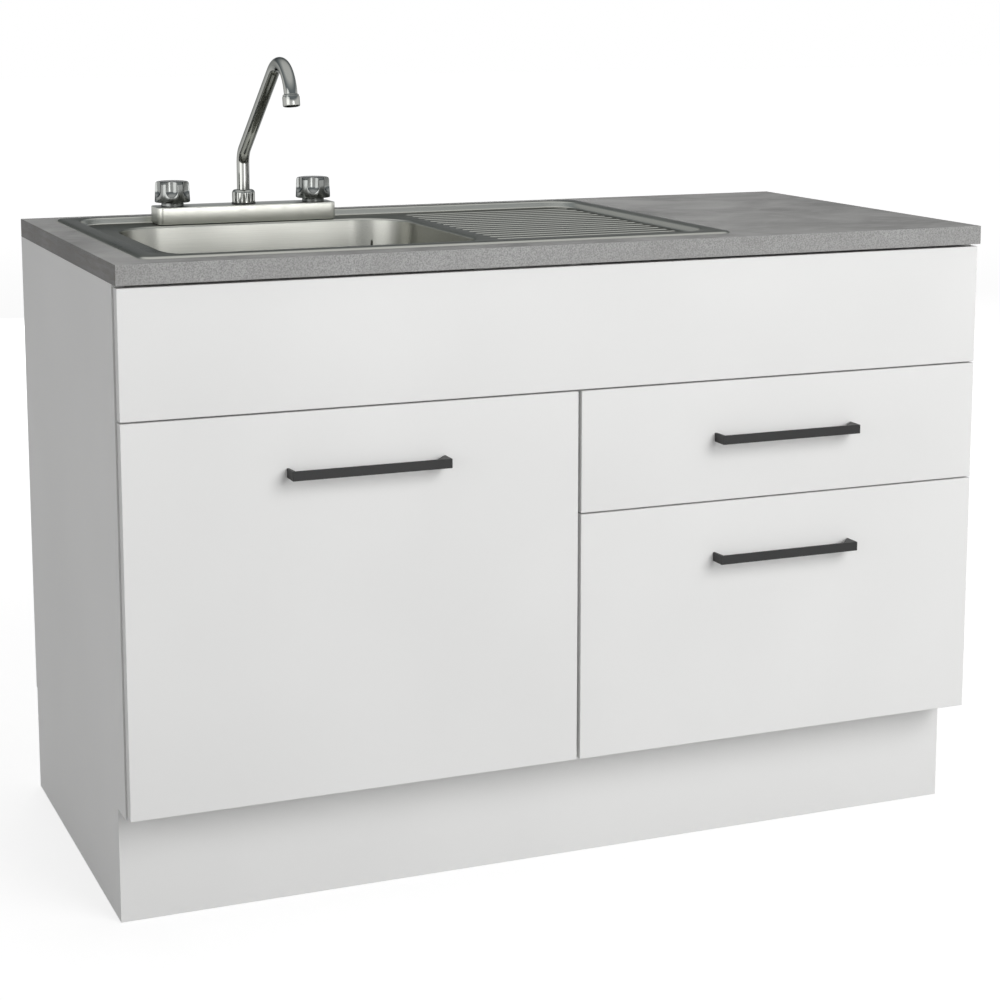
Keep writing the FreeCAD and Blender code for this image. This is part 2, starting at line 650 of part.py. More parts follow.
# ---------------------------------------------------------------- waste, overflow and trap
def make_waste():
    """Strainer waste: flange in the bowl, tapered cup, threaded tail, overflow port."""
    top = BOWL_Z + WASTE_FLANGE_T
    foot = WASTE_FOOT
    shoulder = foot + WASTE_SHOULDER
    inner_tail = WASTE_TAIL_R - WASTE_WALL
    inner_cup = WASTE_CUP_R - WASTE_WALL
    bevel = 1.5
    profile = [(WASTE_FLANGE_R, BOWL_Z), (WASTE_FLANGE_R - bevel, top), (WASTE_CUP_R + 1.0, top),
               (inner_cup, top - 5.0), (inner_cup - bevel, shoulder),
               (WASTE_TAIL_R + 2.0, foot), (inner_tail, foot - 6.0),
               (inner_tail, WASTE_TAIL_Z), (WASTE_TAIL_R, WASTE_TAIL_Z),
               (WASTE_TAIL_R, foot - 8.0), (WASTE_TAIL_R + 4.5, foot - 2.0),
               (WASTE_CUP_R - bevel, shoulder), (WASTE_CUP_R, BOWL_Z)]
    body = turned(profile, BOWL_CX, BOWL_CY)
    root = 6.0                      # port let into the cup's wall
    base = V(BOWL_CX + WASTE_CUP_R - root, BOWL_CY, PORT_Z)
    end = V(BOWL_CX + WASTE_CUP_R + PORT_OUT - PORT_SOCKET, BOWL_CY, PORT_Z)
    body = body.fuse(rod(PORT_R, root + PORT_OUT, base, RIGHT))
    body = body.cut(rod(OVERFLOW_BORE_R, root + PORT_OUT + PAST, base - RIGHT * root, RIGHT))
    return body.cut(rod(OVERFLOW_PIPE_R + RUN_FIT, PORT_SOCKET + PAST, end, RIGHT))


def make_waste_nut():
    """Back nut clamping the waste under the bowl, with lugs."""
    washer_z = BOWL_Z - SHEET - WASTE_WASHER_T
    z = washer_z - WASTE_NUT_T
    outer = WASTE_CUP_R + WASTE_NUT_WALL
    body = rod(outer, WASTE_NUT_T, V(BOWL_CX, BOWL_CY, z))
    body = body.fuse(rod(outer + 1.5, WASTE_WASHER_T, V(BOWL_CX, BOWL_CY, washer_z)))
    lug = block(outer - 4.0, outer + 4.0, -4.0, 4.0, z, z + WASTE_NUT_T - 2.0)
    body = body.fuse(around(lug, WASTE_LUGS, BOWL_CX, BOWL_CY, 30.0))
    return body.cut(rod(WASTE_CUP_R, 2.0 * WASTE_NUT_T, V(BOWL_CX, BOWL_CY, z - PAST)))


def make_basket():
    """Lift-out strainer basket: perforated cup with a centre knob."""
    top = BOWL_Z + BASKET_TOP
    low = top - BASKET_DEEP
    outer = WASTE_CUP_R - WASTE_WALL - BASKET_FREE
    taper = 3.0
    edge = 0.6
    cup = [(outer + BASKET_RIM, top), (outer + BASKET_RIM, top - edge), (outer, top - BASKET_TOP),
           (outer - taper, low), (0.0, low), (0.0, low + BASKET_WALL),
           (outer - taper - BASKET_WALL, low + BASKET_WALL), (outer - BASKET_WALL, top)]
    crown = 3.0
    stem = [(0.0, low), (BASKET_STEM_R, low), (BASKET_STEM_R, top - 8.0),
            (BASKET_KNOB_R, top - crown), (BASKET_KNOB_R, top + 1.0),
            (BASKET_KNOB_R - crown, top + crown), (0.0, top + crown)]
    body = turned(cup, BOWL_CX, BOWL_CY).fuse(turned(stem, BOWL_CX, BOWL_CY))
    holes = []
    for ring_r, count in BASKET_RINGS:
        hole = rod(BASKET_HOLE_R, BASKET_WALL + 2.0 * PAST, V(ring_r, 0.0, low - PAST))
        holes += around(hole, count, BOWL_CX, BOWL_CY)
    return body.cut(Part.makeCompound(holes))


def pipe_along(points, radius, bend):
    """Round bar swept along a polyline whose corners are rounded to the bend radius."""
    edges = []
    last = points[0]
    for before, corner, after in zip(points[:-2], points[1:-1], points[2:]):
        into = (corner - before).normalize()
        leave = (after - corner).normalize()
        turn = into.getAngle(leave)
        back = bend * math.tan(turn / 2.0)
        start = corner - into * back
        end = corner + leave * back
        middle = (leave - into).normalize()
        centre = corner + middle * (bend / math.cos(turn / 2.0))
        edges.append(Part.makeLine(last, start))
        edges.append(Part.Arc(start, centre - middle * bend, end).toShape())
        last = end
    edges.append(Part.makeLine(last, points[-1]))
    ring = Part.Wire(Part.makeCircle(radius, points[0], points[1] - points[0]))
    return Part.Wire(edges).makePipeShell([ring], True, False)


def overflow_points():
    """Centre line of the overflow pipe from the elbow to the waste body."""
    point, out = overflow_frame()
    spigot = point + out * SPIGOT_OUT
    lead = 60.0                     # straight run into the port
    port_x = BOWL_CX + WASTE_CUP_R + PORT_OUT - PORT_SOCKET
    return [V(spigot.x, spigot.y, spigot.z - SPIGOT_OUT), V(spigot.x, spigot.y, PORT_Z),
            V(BOWL_CX + WASTE_CUP_R + lead, BOWL_CY, PORT_Z), V(port_x, BOWL_CY, PORT_Z)]


def make_overflow_elbow():
    """Overflow elbow seated on the bowl's outside: flange, box and pipe spigot."""
    flange_t, flange_w, flange_h = ELBOW_FLANGE
    reach, box_w, box_h = ELBOW_BOX
    wall = 1.5
    flange = block(0.0, flange_t + SHEET, -flange_w / 2, flange_w / 2, -flange_h / 2, flange_h / 2)
    box = block(0.0, reach, -box_w / 2, box_w / 2, -box_h / 2, box_h / 2)
    body = soften(flange.fuse(box), ELBOW_R, lambda e: e.BoundBox.XLength > reach / 2.0)
    spigot = V(SPIGOT_OUT, 0.0, -SPIGOT_LOW)
    body = body.fuse(rod(SPIGOT_R, SPIGOT_L, spigot))
    body = body.cut(rod(SPIGOT_BORE_R, SPIGOT_L + 2.0 * PAST, spigot - UP * PAST))
    body = body.cut(block(-PAST, reach - 2.0 * SPIGOT_BORE_R / 2.0, -OVERFLOW_W - wall,
                          OVERFLOW_W + wall, -OVERFLOW_H / 2.0, OVERFLOW_H / 2.0 - wall))
    return at_overflow(body).cut(sink_hollow(SHEET))


def make_overflow_pipe():
    """Bent overflow pipe, pushed over the elbow's spigot and into the waste body."""
    outer = pipe_along(overflow_points(), OVERFLOW_PIPE_R, OVERFLOW_BEND)
    return outer.cut(pipe_along(overflow_points(), OVERFLOW_BORE_R, OVERFLOW_BEND))


def make_trap_head():
    """Head of the bottle trap: inlet socket, dip tube and side outlet."""
    outer = TRAP_R - TRAP_COLLAR_WALL - 0.1
    axis = V(BOWL_CX, BOWL_CY, 0.0)
    shell = rod(outer, TRAP_HEAD_H, axis + UP * TRAP_LOW_Z)
    shell = shell.cut(rod(outer - TRAP_WALL, TRAP_HEAD_H - TRAP_WALL, axis + UP * TRAP_LOW_Z))
    socket = tube(WASTE_TAIL_R + 6.0, WASTE_TAIL_R + PUSH_FIT, TRAP_SOCKET_H,
                  axis + UP * TRAP_TOP_Z)
    dip = tube(DIP_R, DIP_BORE_R, TRAP_HEAD_H + DIP_DEEP, axis + UP * (TRAP_LOW_Z - DIP_DEEP))
    outlet = tube(PIPE_R + PIPE_SOCKET_WALL, PIPE_R + PUSH_FIT, PIPE_IN,
                  V(BOWL_CX, OUTLET_Y, OUTLET_Z), TO_WALL)
    body = shell.fuse(outlet).fuse(socket)
    port_back = 10.0                # the port's cutter starts inside the shell
    body = body.cut(rod(PIPE_R - 3.0, 2.0 * port_back,
                        V(BOWL_CX, OUTLET_Y - port_back, OUTLET_Z), TO_WALL))
    body = body.cut(rod(DIP_BORE_R, TRAP_HEAD_H, axis + UP * (TRAP_TOP_Z - TRAP_HEAD_H / 2.0)))
    return body.fuse(dip).removeSplitter()


def rib(radius, z0, z1):
    """Grip rib on a round part's outside, drawn about the origin."""
    return block(radius - 1.0, radius + RIB_OUT, -RIB_HALF, RIB_HALF, z0, z1)


def make_trap_cup():
    """Screw-off bottle of the trap with grip ribs."""
    low = TRAP_LOW_Z
    foot = low - TRAP_CUP_H + TRAP_COLLAR
    inner = TRAP_R - TRAP_COLLAR_WALL
    toe = 8.0                       # slope between floor and wall
    profile = [(0.0, foot), (TRAP_R - 14.0, foot), (TRAP_R - 6.0, foot + toe),
               (TRAP_R - 3.5, low - toe), (TRAP_R, low - 6.0), (TRAP_R, low + TRAP_COLLAR),
               (inner, low + TRAP_COLLAR), (inner, low - 2.0), (TRAP_R - 6.0, low - 4.0),
               (TRAP_R - 8.5, foot + toe + 1.0), (TRAP_R - 15.0, foot + TRAP_WALL),
               (0.0, foot + TRAP_WALL)]
    grip = rib(TRAP_R, low - 4.0, low + TRAP_COLLAR - 2.0)
    return turned(profile, BOWL_CX, BOWL_CY).fuse(around(grip, TRAP_RIBS, BOWL_CX, BOWL_CY))


def slip_nut(bore, lip_bore, length):
    """Slip nut with grip ribs and a lip, standing on the origin."""
    outer = bore + NUT_WALL
    body = rod(outer, length, NOWHERE).fuse(around(rib(outer, 0.0, length - 2.0),
                                                   SLIP_NUT_RIBS, 0.0, 0.0))
    return body.cut(rod(bore, length - NUT_LIP, NOWHERE)).cut(rod(lip_bore, length, NOWHERE))


def make_inlet_nut():
    """Slip nut joining the waste tail to the trap head."""
    body = slip_nut(WASTE_TAIL_R + 6.2, WASTE_TAIL_R + PUSH_FIT, INLET_NUT_L)
    body.translate(V(BOWL_CX, BOWL_CY, WASTE_TAIL_Z + 0.5))
    return body


def make_outlet_nut():
    """Slip nut joining the trap outlet to the waste pipe."""
    body = slip_nut(PIPE_R + PIPE_SOCKET_WALL + 0.2, PIPE_R + PUSH_FIT, OUTLET_NUT_L)
    body.rotate(NOWHERE, RIGHT, -90.0)
    body.translate(V(BOWL_CX, OUTLET_Y + PIPE_IN - NUT_IN, OUTLET_Z))
    return body


def make_waste_pipe():
    """Straight waste pipe from the trap to the wall, its end thinned for the socket."""
    start = V(BOWL_CX, BOWL_CY + TRAP_R, OUTLET_Z)
    length = DEPTH - start.y
    body = rod(PIPE_R - PUSH_FIT, PIPE_IN, start, TO_WALL)
    body = body.fuse(rod(PIPE_R, length - PIPE_IN, start + TO_WALL * PIPE_IN, TO_WALL))
    return body.cut(rod(PIPE_R - PIPE_WALL, length, start, TO_WALL))


# ---------------------------------------------------------------- tap
def make_block():
    """Tap block bored for the spout, both headworks, both inlets and the waterway."""
    body = rounded_block(BLOCK_X0, BLOCK_X1, BLOCK_Y0, BLOCK_Y1, BLOCK_Z, BLOCK_TOP_Z, BLOCK_R)
    body = body.makeChamfer(BLOCK_TOP_EDGE, edges_where(body, lambda e: flat_at(e, BLOCK_TOP_Z)))
    body = body.makeChamfer(BLOCK_LOW_EDGE, edges_where(body, lambda e: flat_at(e, BLOCK_Z)))
    body = body.cut(rod(SPOUT_R + RUN_FIT, SPOUT_SEAT, V(TAP_X, TAP_Y, BLOCK_TOP_Z - SPOUT_SEAT)))
    head_bore = HEAD_DEEP + 0.5
    for x in KNOBS_X:
        body = body.cut(rod(HEAD_R + LOOSE, head_bore, V(x, TAP_Y, BLOCK_TOP_Z - head_bore)))
        body = body.cut(rod(INLET_R + THREAD_FIT, INLET_IN + 0.1 + PAST,
                            V(x, TAP_Y, BLOCK_Z - PAST)))
        body = body.cut(rod(RISER_BORE_R, BLOCK_TOP - 2.0, V(x, TAP_Y, BLOCK_Z)))
    return body.cut(rod(WATERWAY_R, 2.0 * KNOB_OFF,
                        V(KNOBS_X[0], TAP_Y, BLOCK_TOP_Z - WATERWAY_DROP), RIGHT))


def make_gasket():
    """Flat gasket under the block."""
    body = rounded_block(BLOCK_X0 + GASKET_IN, BLOCK_X1 - GASKET_IN, BLOCK_Y0 + GASKET_IN,
                         BLOCK_Y1 - GASKET_IN, DECK_Z, BLOCK_Z, BLOCK_R - GASKET_IN)
    for x in KNOBS_X:
        body = body.cut(rod(INLET_R + TAP_HOLE_FIT, GASKET_T + 2.0 * PAST,
                            V(x, TAP_Y, DECK_Z - PAST)))
    return body


def spout_path():
    """Centre line of the spout, its foot, and the point and direction where it ends."""
    slope = math.radians(INCLINE)
    corner = V(TAP_X, TAP_Y, BLOCK_TOP_Z + CORNER_Z)
    along = V(0.0, -math.cos(slope), math.sin(slope))
    turn = UP.getAngle(along)
    back = CORNER_R * math.tan(turn / 2.0)
    foot = V(TAP_X, TAP_Y, BLOCK_TOP_Z - SPOUT_SEAT + 1.0)
    bend_in = corner - UP * back
    bend_out = corner + along * back
    middle = (along - UP).normalize()
    bend_mid = corner + middle * (CORNER_R / math.cos(turn / 2.0) - CORNER_R)
    normal = V(0.0, math.sin(slope), math.cos(slope))
    tangent_y = TAP_Y - HOOK_OUT + HOOK_R * math.sin(slope)
    tangent = V(TAP_X, tangent_y, corner.z + math.tan(slope) * (TAP_Y - tangent_y))
    hook = tangent - normal * HOOK_R
    start_angle = math.atan2(normal.z, normal.y)
    end_angle = math.radians(180.0 - HOOK_END)

    def on_hook(angle):
        """Point of the hook's arc at an angle from the wall's direction."""
        return hook + V(0.0, math.cos(angle), math.sin(angle)) * HOOK_R

    end = on_hook(end_angle)
    heading = V(0.0, -math.sin(end_angle), math.cos(end_angle))
    edges = [Part.makeLine(foot, bend_in), Part.Arc(bend_in, bend_mid, bend_out).toShape(),
             Part.makeLine(bend_out, tangent),
             Part.Arc(tangent, on_hook((start_angle + end_angle) / 2.0), end).toShape()]
    return Part.Wire(edges), foot, end, heading


def sweep(path, foot, radius):
    """Round bar along the spout's centre line."""
    ring = Part.Wire(Part.makeCircle(radius, foot, UP))
    return path.makePipeShell([ring], True, False)


def make_spout():
    """Hollow swan-neck spout with the flange held by the nut."""
    path, foot, _, _ = spout_path()
    flange = rod(FLANGE_R, FLANGE_UP, V(TAP_X, TAP_Y, BLOCK_TOP_Z + FLANGE_UP))
    return sweep(path, foot, SPOUT_R).fuse(flange).cut(sweep(path, foot, SPOUT_BORE_R))


def make_aerator():
    """Aerator on the spout's end: stepped ring with a hollow underside and a sieve."""
    _, _, end, heading = spout_path()
    body = rod(AERATOR_R, AERATOR_L, end, heading)
    rims = edges_where(body, lambda e: len(e.Vertexes) == 1)
    body = body.makeFillet(AERATOR_EDGE, rims)
    hollow = end + heading * (AERATOR_L - AERATOR_HOLLOW)
    body = body.cut(rod(AERATOR_R - AERATOR_WALL, AERATOR_HOLLOW + PAST, hollow, heading))
    return body.cut(rod(SIEVE_R, AERATOR_L, end, heading))


def make_ring():
    """Black sealing ring between block and nut."""
    return tube(RING_R, FLANGE_R + LOOSE, RING_H, V(TAP_X, TAP_Y, BLOCK_TOP_Z))


def make_spout_nut():
    """Fluted nut over the spout's flange, round top."""
    low = BLOCK_TOP_Z + RING_H
    top = BLOCK_TOP_Z + NUT_TOP
    height = top - low
    body = soften(rod(NUT_R, height, V(TAP_X, TAP_Y, low)), NUT_TOP_R, lambda e: flat_at(e, top))
    flute = rod(NUT_FLUTE_R, height, V(NUT_R + NUT_FLUTE_OUT, 0.0, low + 2.0))
    body = body.cut(Part.makeCompound(around(flute, NUT_FLUTES, TAP_X, TAP_Y)))
    pocket = 2.0 * FLANGE_UP + 0.6 - RING_H
    body = body.cut(rod(FLANGE_R + LOOSE, pocket, V(TAP_X, TAP_Y, low)))
    return body.cut(rod(SPOUT_R + LOOSE, height, V(TAP_X, TAP_Y, low)))


def make_knob(x):
    """Fluted knob, hollow below, with a bore for the spindle and a screw recess on top."""
    axis = V(x, TAP_Y, KNOB_Z)
    top = KNOB_Z + KNOB_H
    body = Part.makeCone(KNOB_R_LOW, KNOB_R_TOP, KNOB_H, axis, UP)
    body = soften(body, KNOB_TOP_R, lambda e: flat_at(e, top))
    body = soften(body, KNOB_LOW_R, lambda e: flat_at(e, KNOB_Z))
    spot = V(FLUTE_CENTRE, 0.0, KNOB_Z + FLUTE_FOOT + FLUTE_R)
    flute = rod(FLUTE_R, KNOB_H, spot).fuse(Part.makeSphere(FLUTE_R, spot))
    for cutter in around(flute, FLUTES, x, TAP_Y, FLUTE_TURN):
        body = body.cut(cutter)
    body = body.cut(rod(KNOB_HOLLOW_R, KNOB_HOLLOW, axis))
    body = body.cut(rod(SPINDLE_R + RUN_FIT, SPINDLE_BORE, axis))
    return body.cut(rod(KNOB_SCREW_R, KNOB_SCREW_DEEP, V(x, TAP_Y, top - KNOB_SCREW_DEEP)))


def make_collars():
    """Two chrome collars under the knobs."""
    return [tube(COLLAR_R, HEAD_R + LOOSE, COLLAR_H, V(x, TAP_Y, BLOCK_TOP_Z)) for x in KNOBS_X]


def make_headworks():
    """Two quarter-turn headworks with their spindles."""
    parts = []
    port_r, port_deep = HEAD_PORT
    collar_top = BLOCK_TOP_Z + COLLAR_H
    for x in KNOBS_X:
        foot = V(x, TAP_Y, BLOCK_TOP_Z - HEAD_DEEP)
        body = rod(HEAD_R, HEAD_DEEP + COLLAR_H + HEAD_UP, foot)
        body = body.fuse(hexagon(HEAD_FLATS, HEAD_HEX_H, x, TAP_Y, collar_top + HEAD_UP))
        body = body.fuse(rod(SPINDLE_R, SPINDLE_L, V(x, TAP_Y, collar_top)))
        parts.append(body.cut(rod(port_r, port_deep, foot)))
    return parts


def make_inlets():
    """Two threaded inlet shanks through the sink."""
    shanks = []
    for x in KNOBS_X:
        foot = V(x, TAP_Y, BLOCK_Z + INLET_IN - INLET_L)
        shank = rod(INLET_NECK_R, INLET_L, foot).fuse(rod(INLET_R, INLET_FREE, foot))
        shanks.append(shank.cut(rod(INLET_BORE_R, INLET_L, foot)).removeSplitter())
    return shanks


def make_backnuts():
    """Two back nuts with their washers under the sink."""
    under = DECK_Z - SHEET
    washer_z = under - BACKNUT_WASHER_T
    nuts = []
    for x in KNOBS_X:
        nut = hexagon(BACKNUT_FLATS, BACKNUT_H, x, TAP_Y, washer_z - BACKNUT_H)
        washer = rod(BACKNUT_WASHER_R, BACKNUT_WASHER_T, V(x, TAP_Y, washer_z))
        hole = rod(INLET_R + THREAD_FIT, BLOCK_TOP, V(x, TAP_Y, under - BLOCK_TOP / 2.0))
        nuts.append(nut.fuse(washer).cut(hole))
    return nuts


# ---------------------------------------------------------------- cabinet
def make_side(x0):
    """Side panel from the plinth to the worktop."""
    return block(x0, x0 + BOARD, CARCASS_Y, DEPTH, PLINTH_H, CARCASS_TOP)


def back_slot(z0):
    """Cutter for the grooves that hold the back panel."""
    reach = GROOVE_IN + GROOVE_FIT
    return block(BAY_R0 - reach, BAY_R1 + reach, BACK_Y - GROOVE_FIT,
                 BACK_Y + BACK_T + GROOVE_FIT, z0, CARCASS_TOP + PAST)


def make_rear_rails():
    """Rear rails: two under the worktop, one low behind the sink bay, fixing holes left."""
    y0 = DEPTH - BOARD
    high = CARCASS_TOP - REAR_RAIL_H
    left = block(BAY_L0, BAY_L1, y0, DEPTH, high, CARCASS_TOP)
    middle = (BAY_L0 + BAY_L1) / 2.0
    for side in LEFT_AND_RIGHT:
        spot = V(middle + side * FIX_SPAN / 2.0, y0 - PAST, CARCASS_TOP - REAR_RAIL_H / 2.0)
        left = left.cut(rod(FIX_HOLE_R, BOARD + 2.0 * PAST, spot, TO_WALL))
    low = block(BAY_L0, BAY_L1, y0, DEPTH, FLOOR_Z, FLOOR_Z + REAR_RAIL_H)
    right = block(BAY_R0, BAY_R1, y0, DEPTH, high, CARCASS_TOP)
    return left, low, right


def make_brackets():
    """Four angle brackets holding the blind panel to the boards behind it."""
    z0 = BLIND_Z + BRACKET_UP
    leg = block(0.0, BRACKET_T, FRONT_BACK, CARCASS_Y + BRACKET_LEG, z0, z0 + BRACKET_H)
    arm = block(0.0, BRACKET_ARM, FRONT_BACK, FRONT_BACK + BRACKET_T, z0, z0 + BRACKET_H)
    shape = leg.fuse(arm)
    for up in BRACKET_HOLES:
        spot = V(BRACKET_HOLE_X, FRONT_BACK - PAST, z0 + up)
        shape = shape.cut(rod(SCREW_R, BRACKET_T + 2.0 * PAST, spot, TO_WALL))
    shape = shape.removeSplitter()
    mirrored = mirror_x(shape, 0.0)
    return [shape.translated(V(BAY_L0, 0.0, 0.0)), mirrored.translated(V(BAY_L1, 0.0, 0.0)),
            shape.translated(V(BAY_R0, 0.0, 0.0)), mirrored.translated(V(BAY_R1, 0.0, 0.0))]


def make_plinth():
    """Plinth boards: front, rear and three cross boards."""
    y0 = PLINTH_SET
    y1 = DEPTH - PLINTH_BACK
    x0, x1 = PLINTH_IN, WIDTH - PLINTH_IN
    front = block(x0, x1, y0, y0 + BOARD, 0.0, PLINTH_H)
    rear = block(x0, x1, y1 - BOARD, y1, 0.0, PLINTH_H)
    sides = [block(x, x + BOARD, y0 + BOARD, y1 - BOARD, 0.0, PLINTH_H)
             for x in (x0, MID - BOARD / 2.0, x1 - BOARD)]
    return front, rear, sides


def make_front(x0, x1, z0, z1):
    """Front panel with softly broken edges."""
    panel = block(x0, x1, FRONT_SET, FRONT_BACK, z0, z1)
    return soften(panel, EDGE_R, lambda e: e.BoundBox.YMax < FRONT_SET + 0.01)


def make_handle(x, z):
    """Black handle: slim left leg, flat bar, wedge-shaped right leg."""
    x0, x1 = x - HANDLE_L / 2.0, x + HANDLE_L / 2.0
    front = HANDLE_FRONT
    inner = front + HANDLE_BAR
    back = FRONT_SET
    toe = x1 - HANDLE_TOE
    points = [(x0, back), (x0, front), (x1, front), (x1, back), (toe, back),
              (toe - HANDLE_WEDGE, inner), (x0 + HANDLE_LEG_BAR, inner),
              (x0 + HANDLE_LEG_ROOT, back)]
    body = plate(points, HANDLE_H, z - HANDLE_H / 2.0)
    return soften(body, HANDLE_EDGE_R, lambda e: upright(e) and e.BoundBox.YMax < front + 0.01)


# ---------------------------------------------------------------- door
def make_door():
    """Door with two cup recesses in its back."""
    door = make_front(SIDE_SET, GAP_X0, FRONTS_LOW, FRONTS_TOP)
    for z in HINGE_Z:
        spot = V(SIDE_SET + CUP_IN, FRONT_BACK - CUP_DEEP, z)
        door = door.cut(rod(CUP_R, CUP_DEEP + PAST, spot, TO_WALL))
    return door


def make_cups():
    """Hinge cups let into the door: cup, screw flange and the link seat."""
    cups = []
    x = SIDE_SET + CUP_IN
    seat_x0, seat_x1, seat_half = SEAT
    for z in HINGE_Z:
        foot = V(x, FRONT_BACK - CUP_DEEP + CUP_FIT, z)
        cup = rod(CUP_R - CUP_FIT, CUP_DEEP - CUP_FIT + CUP_WALL, foot, TO_WALL)
        cup = cup.fuse(cup_ears(x, z))
        cup = cup.cut(rod(CUP_R - CUP_WALL - CUP_FIT, CUP_DEEP + 2.0, foot + TO_WALL * CUP_WALL,
                          TO_WALL))
        seat = block(x + seat_x0, x + seat_x1, foot.y + CUP_WALL / 2.0, FRONT_BACK - CUP_WALL,
                     z - seat_half, z + seat_half)
        cups.append(cup.fuse(seat))
    return cups


def cup_ears(x, z):
    """Screw flange of a hinge cup on the door's back face."""
    ears = block(x - EAR_W / 2.0, x + EAR_W / 2.0, FRONT_BACK, FRONT_BACK + CUP_WALL,
                 z - EAR_H / 2.0, z + EAR_H / 2.0)
    ears = soften(ears, EAR_R, lambda e: e.BoundBox.YLength > CUP_WALL - 0.01
                  and e.BoundBox.XLength < 0.01 and e.BoundBox.ZLength < 0.01)
    for side in LEFT_AND_RIGHT:
        spot = V(x, FRONT_BACK - PAST, z + side * EAR_HOLE)
        ears = ears.cut(rod(SCREW_R, CUP_WALL + 2.0 * PAST, spot, TO_WALL))
    return ears


def make_arms():
    """Hinge arms and mounting plates on the left side panel."""
    arms = []
    saddle_t, saddle_d, saddle_h = SADDLE
    y = CARCASS_Y + PLATE_Y
    for z in HINGE_Z:
        base = block(BOARD, BOARD + PLATE_T, y - PLATE_D / 2.0, y + PLATE_D / 2.0,
                     z - PLATE_H / 2.0, z + PLATE_H / 2.0)
        saddle = block(BOARD, BOARD + saddle_t, y - saddle_d / 2.0, y + saddle_d / 2.0,
                       z - saddle_h / 2.0, z + saddle_h / 2.0)
        arm = block(BOARD + ARM_IN, BOARD + ARM_OUT, CARCASS_Y + ARM_FRONT, y + ARM_TAIL,
                    z - ARM_H / 2.0, z + ARM_H / 2.0)
        arm = soften(arm, ARM_R, lambda e: upright(e) and e.BoundBox.XMin > BOARD + ARM_OUT - 1.0)
        shape = base.fuse(saddle).fuse(arm)
        for side in LEFT_AND_RIGHT:
            spot = V(BOARD - PAST, y, z + side * PLATE_HOLE)
            shape = shape.cut(rod(PLATE_HOLE_R, PLATE_T + 2.0 * PAST, spot, RIGHT))
        arms.append(shape)
    return arms


def make_buffers():
    """Four soft buffers on the cabinet's front edges behind the door and the drawers."""
    return [rod(BUFFER_R, FRONT_GAP - BUFFER_FREE, V(x, FRONT_BACK + BUFFER_FREE, z), TO_WALL)
            for x in (MID - BUFFER_X, MID + BUFFER_X)
            for z in (FRONTS_LOW + BUFFER_IN, FRONTS_TOP - BUFFER_IN)]


# ---------------------------------------------------------------- drawers and runners
def roller_heights(box_z):
    """Axis heights of the cabinet roller and the drawer roller."""
    ride = box_z + RIDE_Z
    return ride - RIDE_FIT - ROLLER_R, ride - RIDE_DROP - TAIL_ROLLER_R


def cabinet_rail(box_z):
    """Left cabinet rail: channel for the drawer roller, stud for the front roller."""
    x = BAY_R0
    reach = RUNNER_GAP - RAIL_FREE
    front_z, tail_z = roller_heights(box_z)
    low = tail_z - TAIL_ROLLER_R - RIDE_FIT
    high = tail_z + TAIL_ROLLER_R + CHANNEL_FREE
    start = RUNNER_Y + CHANNEL_SET
    end = RUNNER_Y + RUNNER_L
    axle = V(x, ROLLER_Y, front_z)
    web = block(x, x + STEEL, RUNNER_Y, end, low - STEEL, high + STEEL)
    floor = block(x, x + reach, start, end, low - STEEL, low)
    roof = block(x, x + reach, start, end, high, high + STEEL)
    stop = block(x, x + reach, end - STEEL, end, low, high)
    stud = rod(STUD_R, STEEL + ROLLER_FREE + ROLLER_W + STUD_HEAD / 2.0, axle, RIGHT)
    ear = rod(ROLLER_R * EAR_SHARE, STEEL, axle, RIGHT)
    return web.fuse([floor, roof, stop, stud, ear]).removeSplitter()


def drawer_rail(box_z):
    """Left drawer rail: sole under the box side, web, ride flange, stud at the tail."""
    x = BOX_X0
    _, tail_z = roller_heights(box_z)
    y0, y1 = FRONT_BACK + SOLE_SET, BOX_Y1
    ride_z = box_z + RIDE_Z
    sole = block(x - STEEL, x + SOLE_W, y0, y1, box_z - STEEL, box_z)
    web = block(x - STEEL, x, y0, y1, box_z - STEEL, ride_z + STEEL)
    ride = block(x - RUNNER_GAP + RIDE_FREE, x - STEEL, y0, y1, ride_z, ride_z + STEEL)
    stud_l = STEEL + ROLLER_FREE + ROLLER_W + STUD_HEAD * 0.8
    stud = rod(STUD_R, stud_l, V(x - stud_l, TAIL_Y, tail_z), RIGHT)
    ear = rod(TAIL_ROLLER_R * EAR_SHARE, STEEL, V(x - STEEL, TAIL_Y, tail_z), RIGHT)
    return sole.fuse([web, ride, stud, ear]).removeSplitter()


def roller(radius, x, y, z):
    """Runner roller with softened rims."""
    wheel = rod(radius, ROLLER_W, V(x, y, z), RIGHT)
    wheel = soften(wheel, ROLLER_EDGE, lambda e: e.BoundBox.XLength < 0.01)
    return wheel.cut(rod(STUD_R + RUN_FIT, ROLLER_W, V(x, y, z), RIGHT))


def make_runner(box_z):
    """Rails and rollers of one drawer, left and right."""
    front_z, tail_z = roller_heights(box_z)
    front_x = BAY_R0 + STEEL + ROLLER_FREE
    tail_x = BOX_X0 - STEEL - ROLLER_FREE - ROLLER_W
    middle = (BAY_R0 + BAY_R1) / 2.0
    left = (cabinet_rail(box_z), drawer_rail(box_z), roller(ROLLER_R, front_x, ROLLER_Y, front_z),
            roller(TAIL_ROLLER_R, tail_x, TAIL_Y, tail_z))
    return [[piece, mirror_x(piece, middle)] for piece in left]


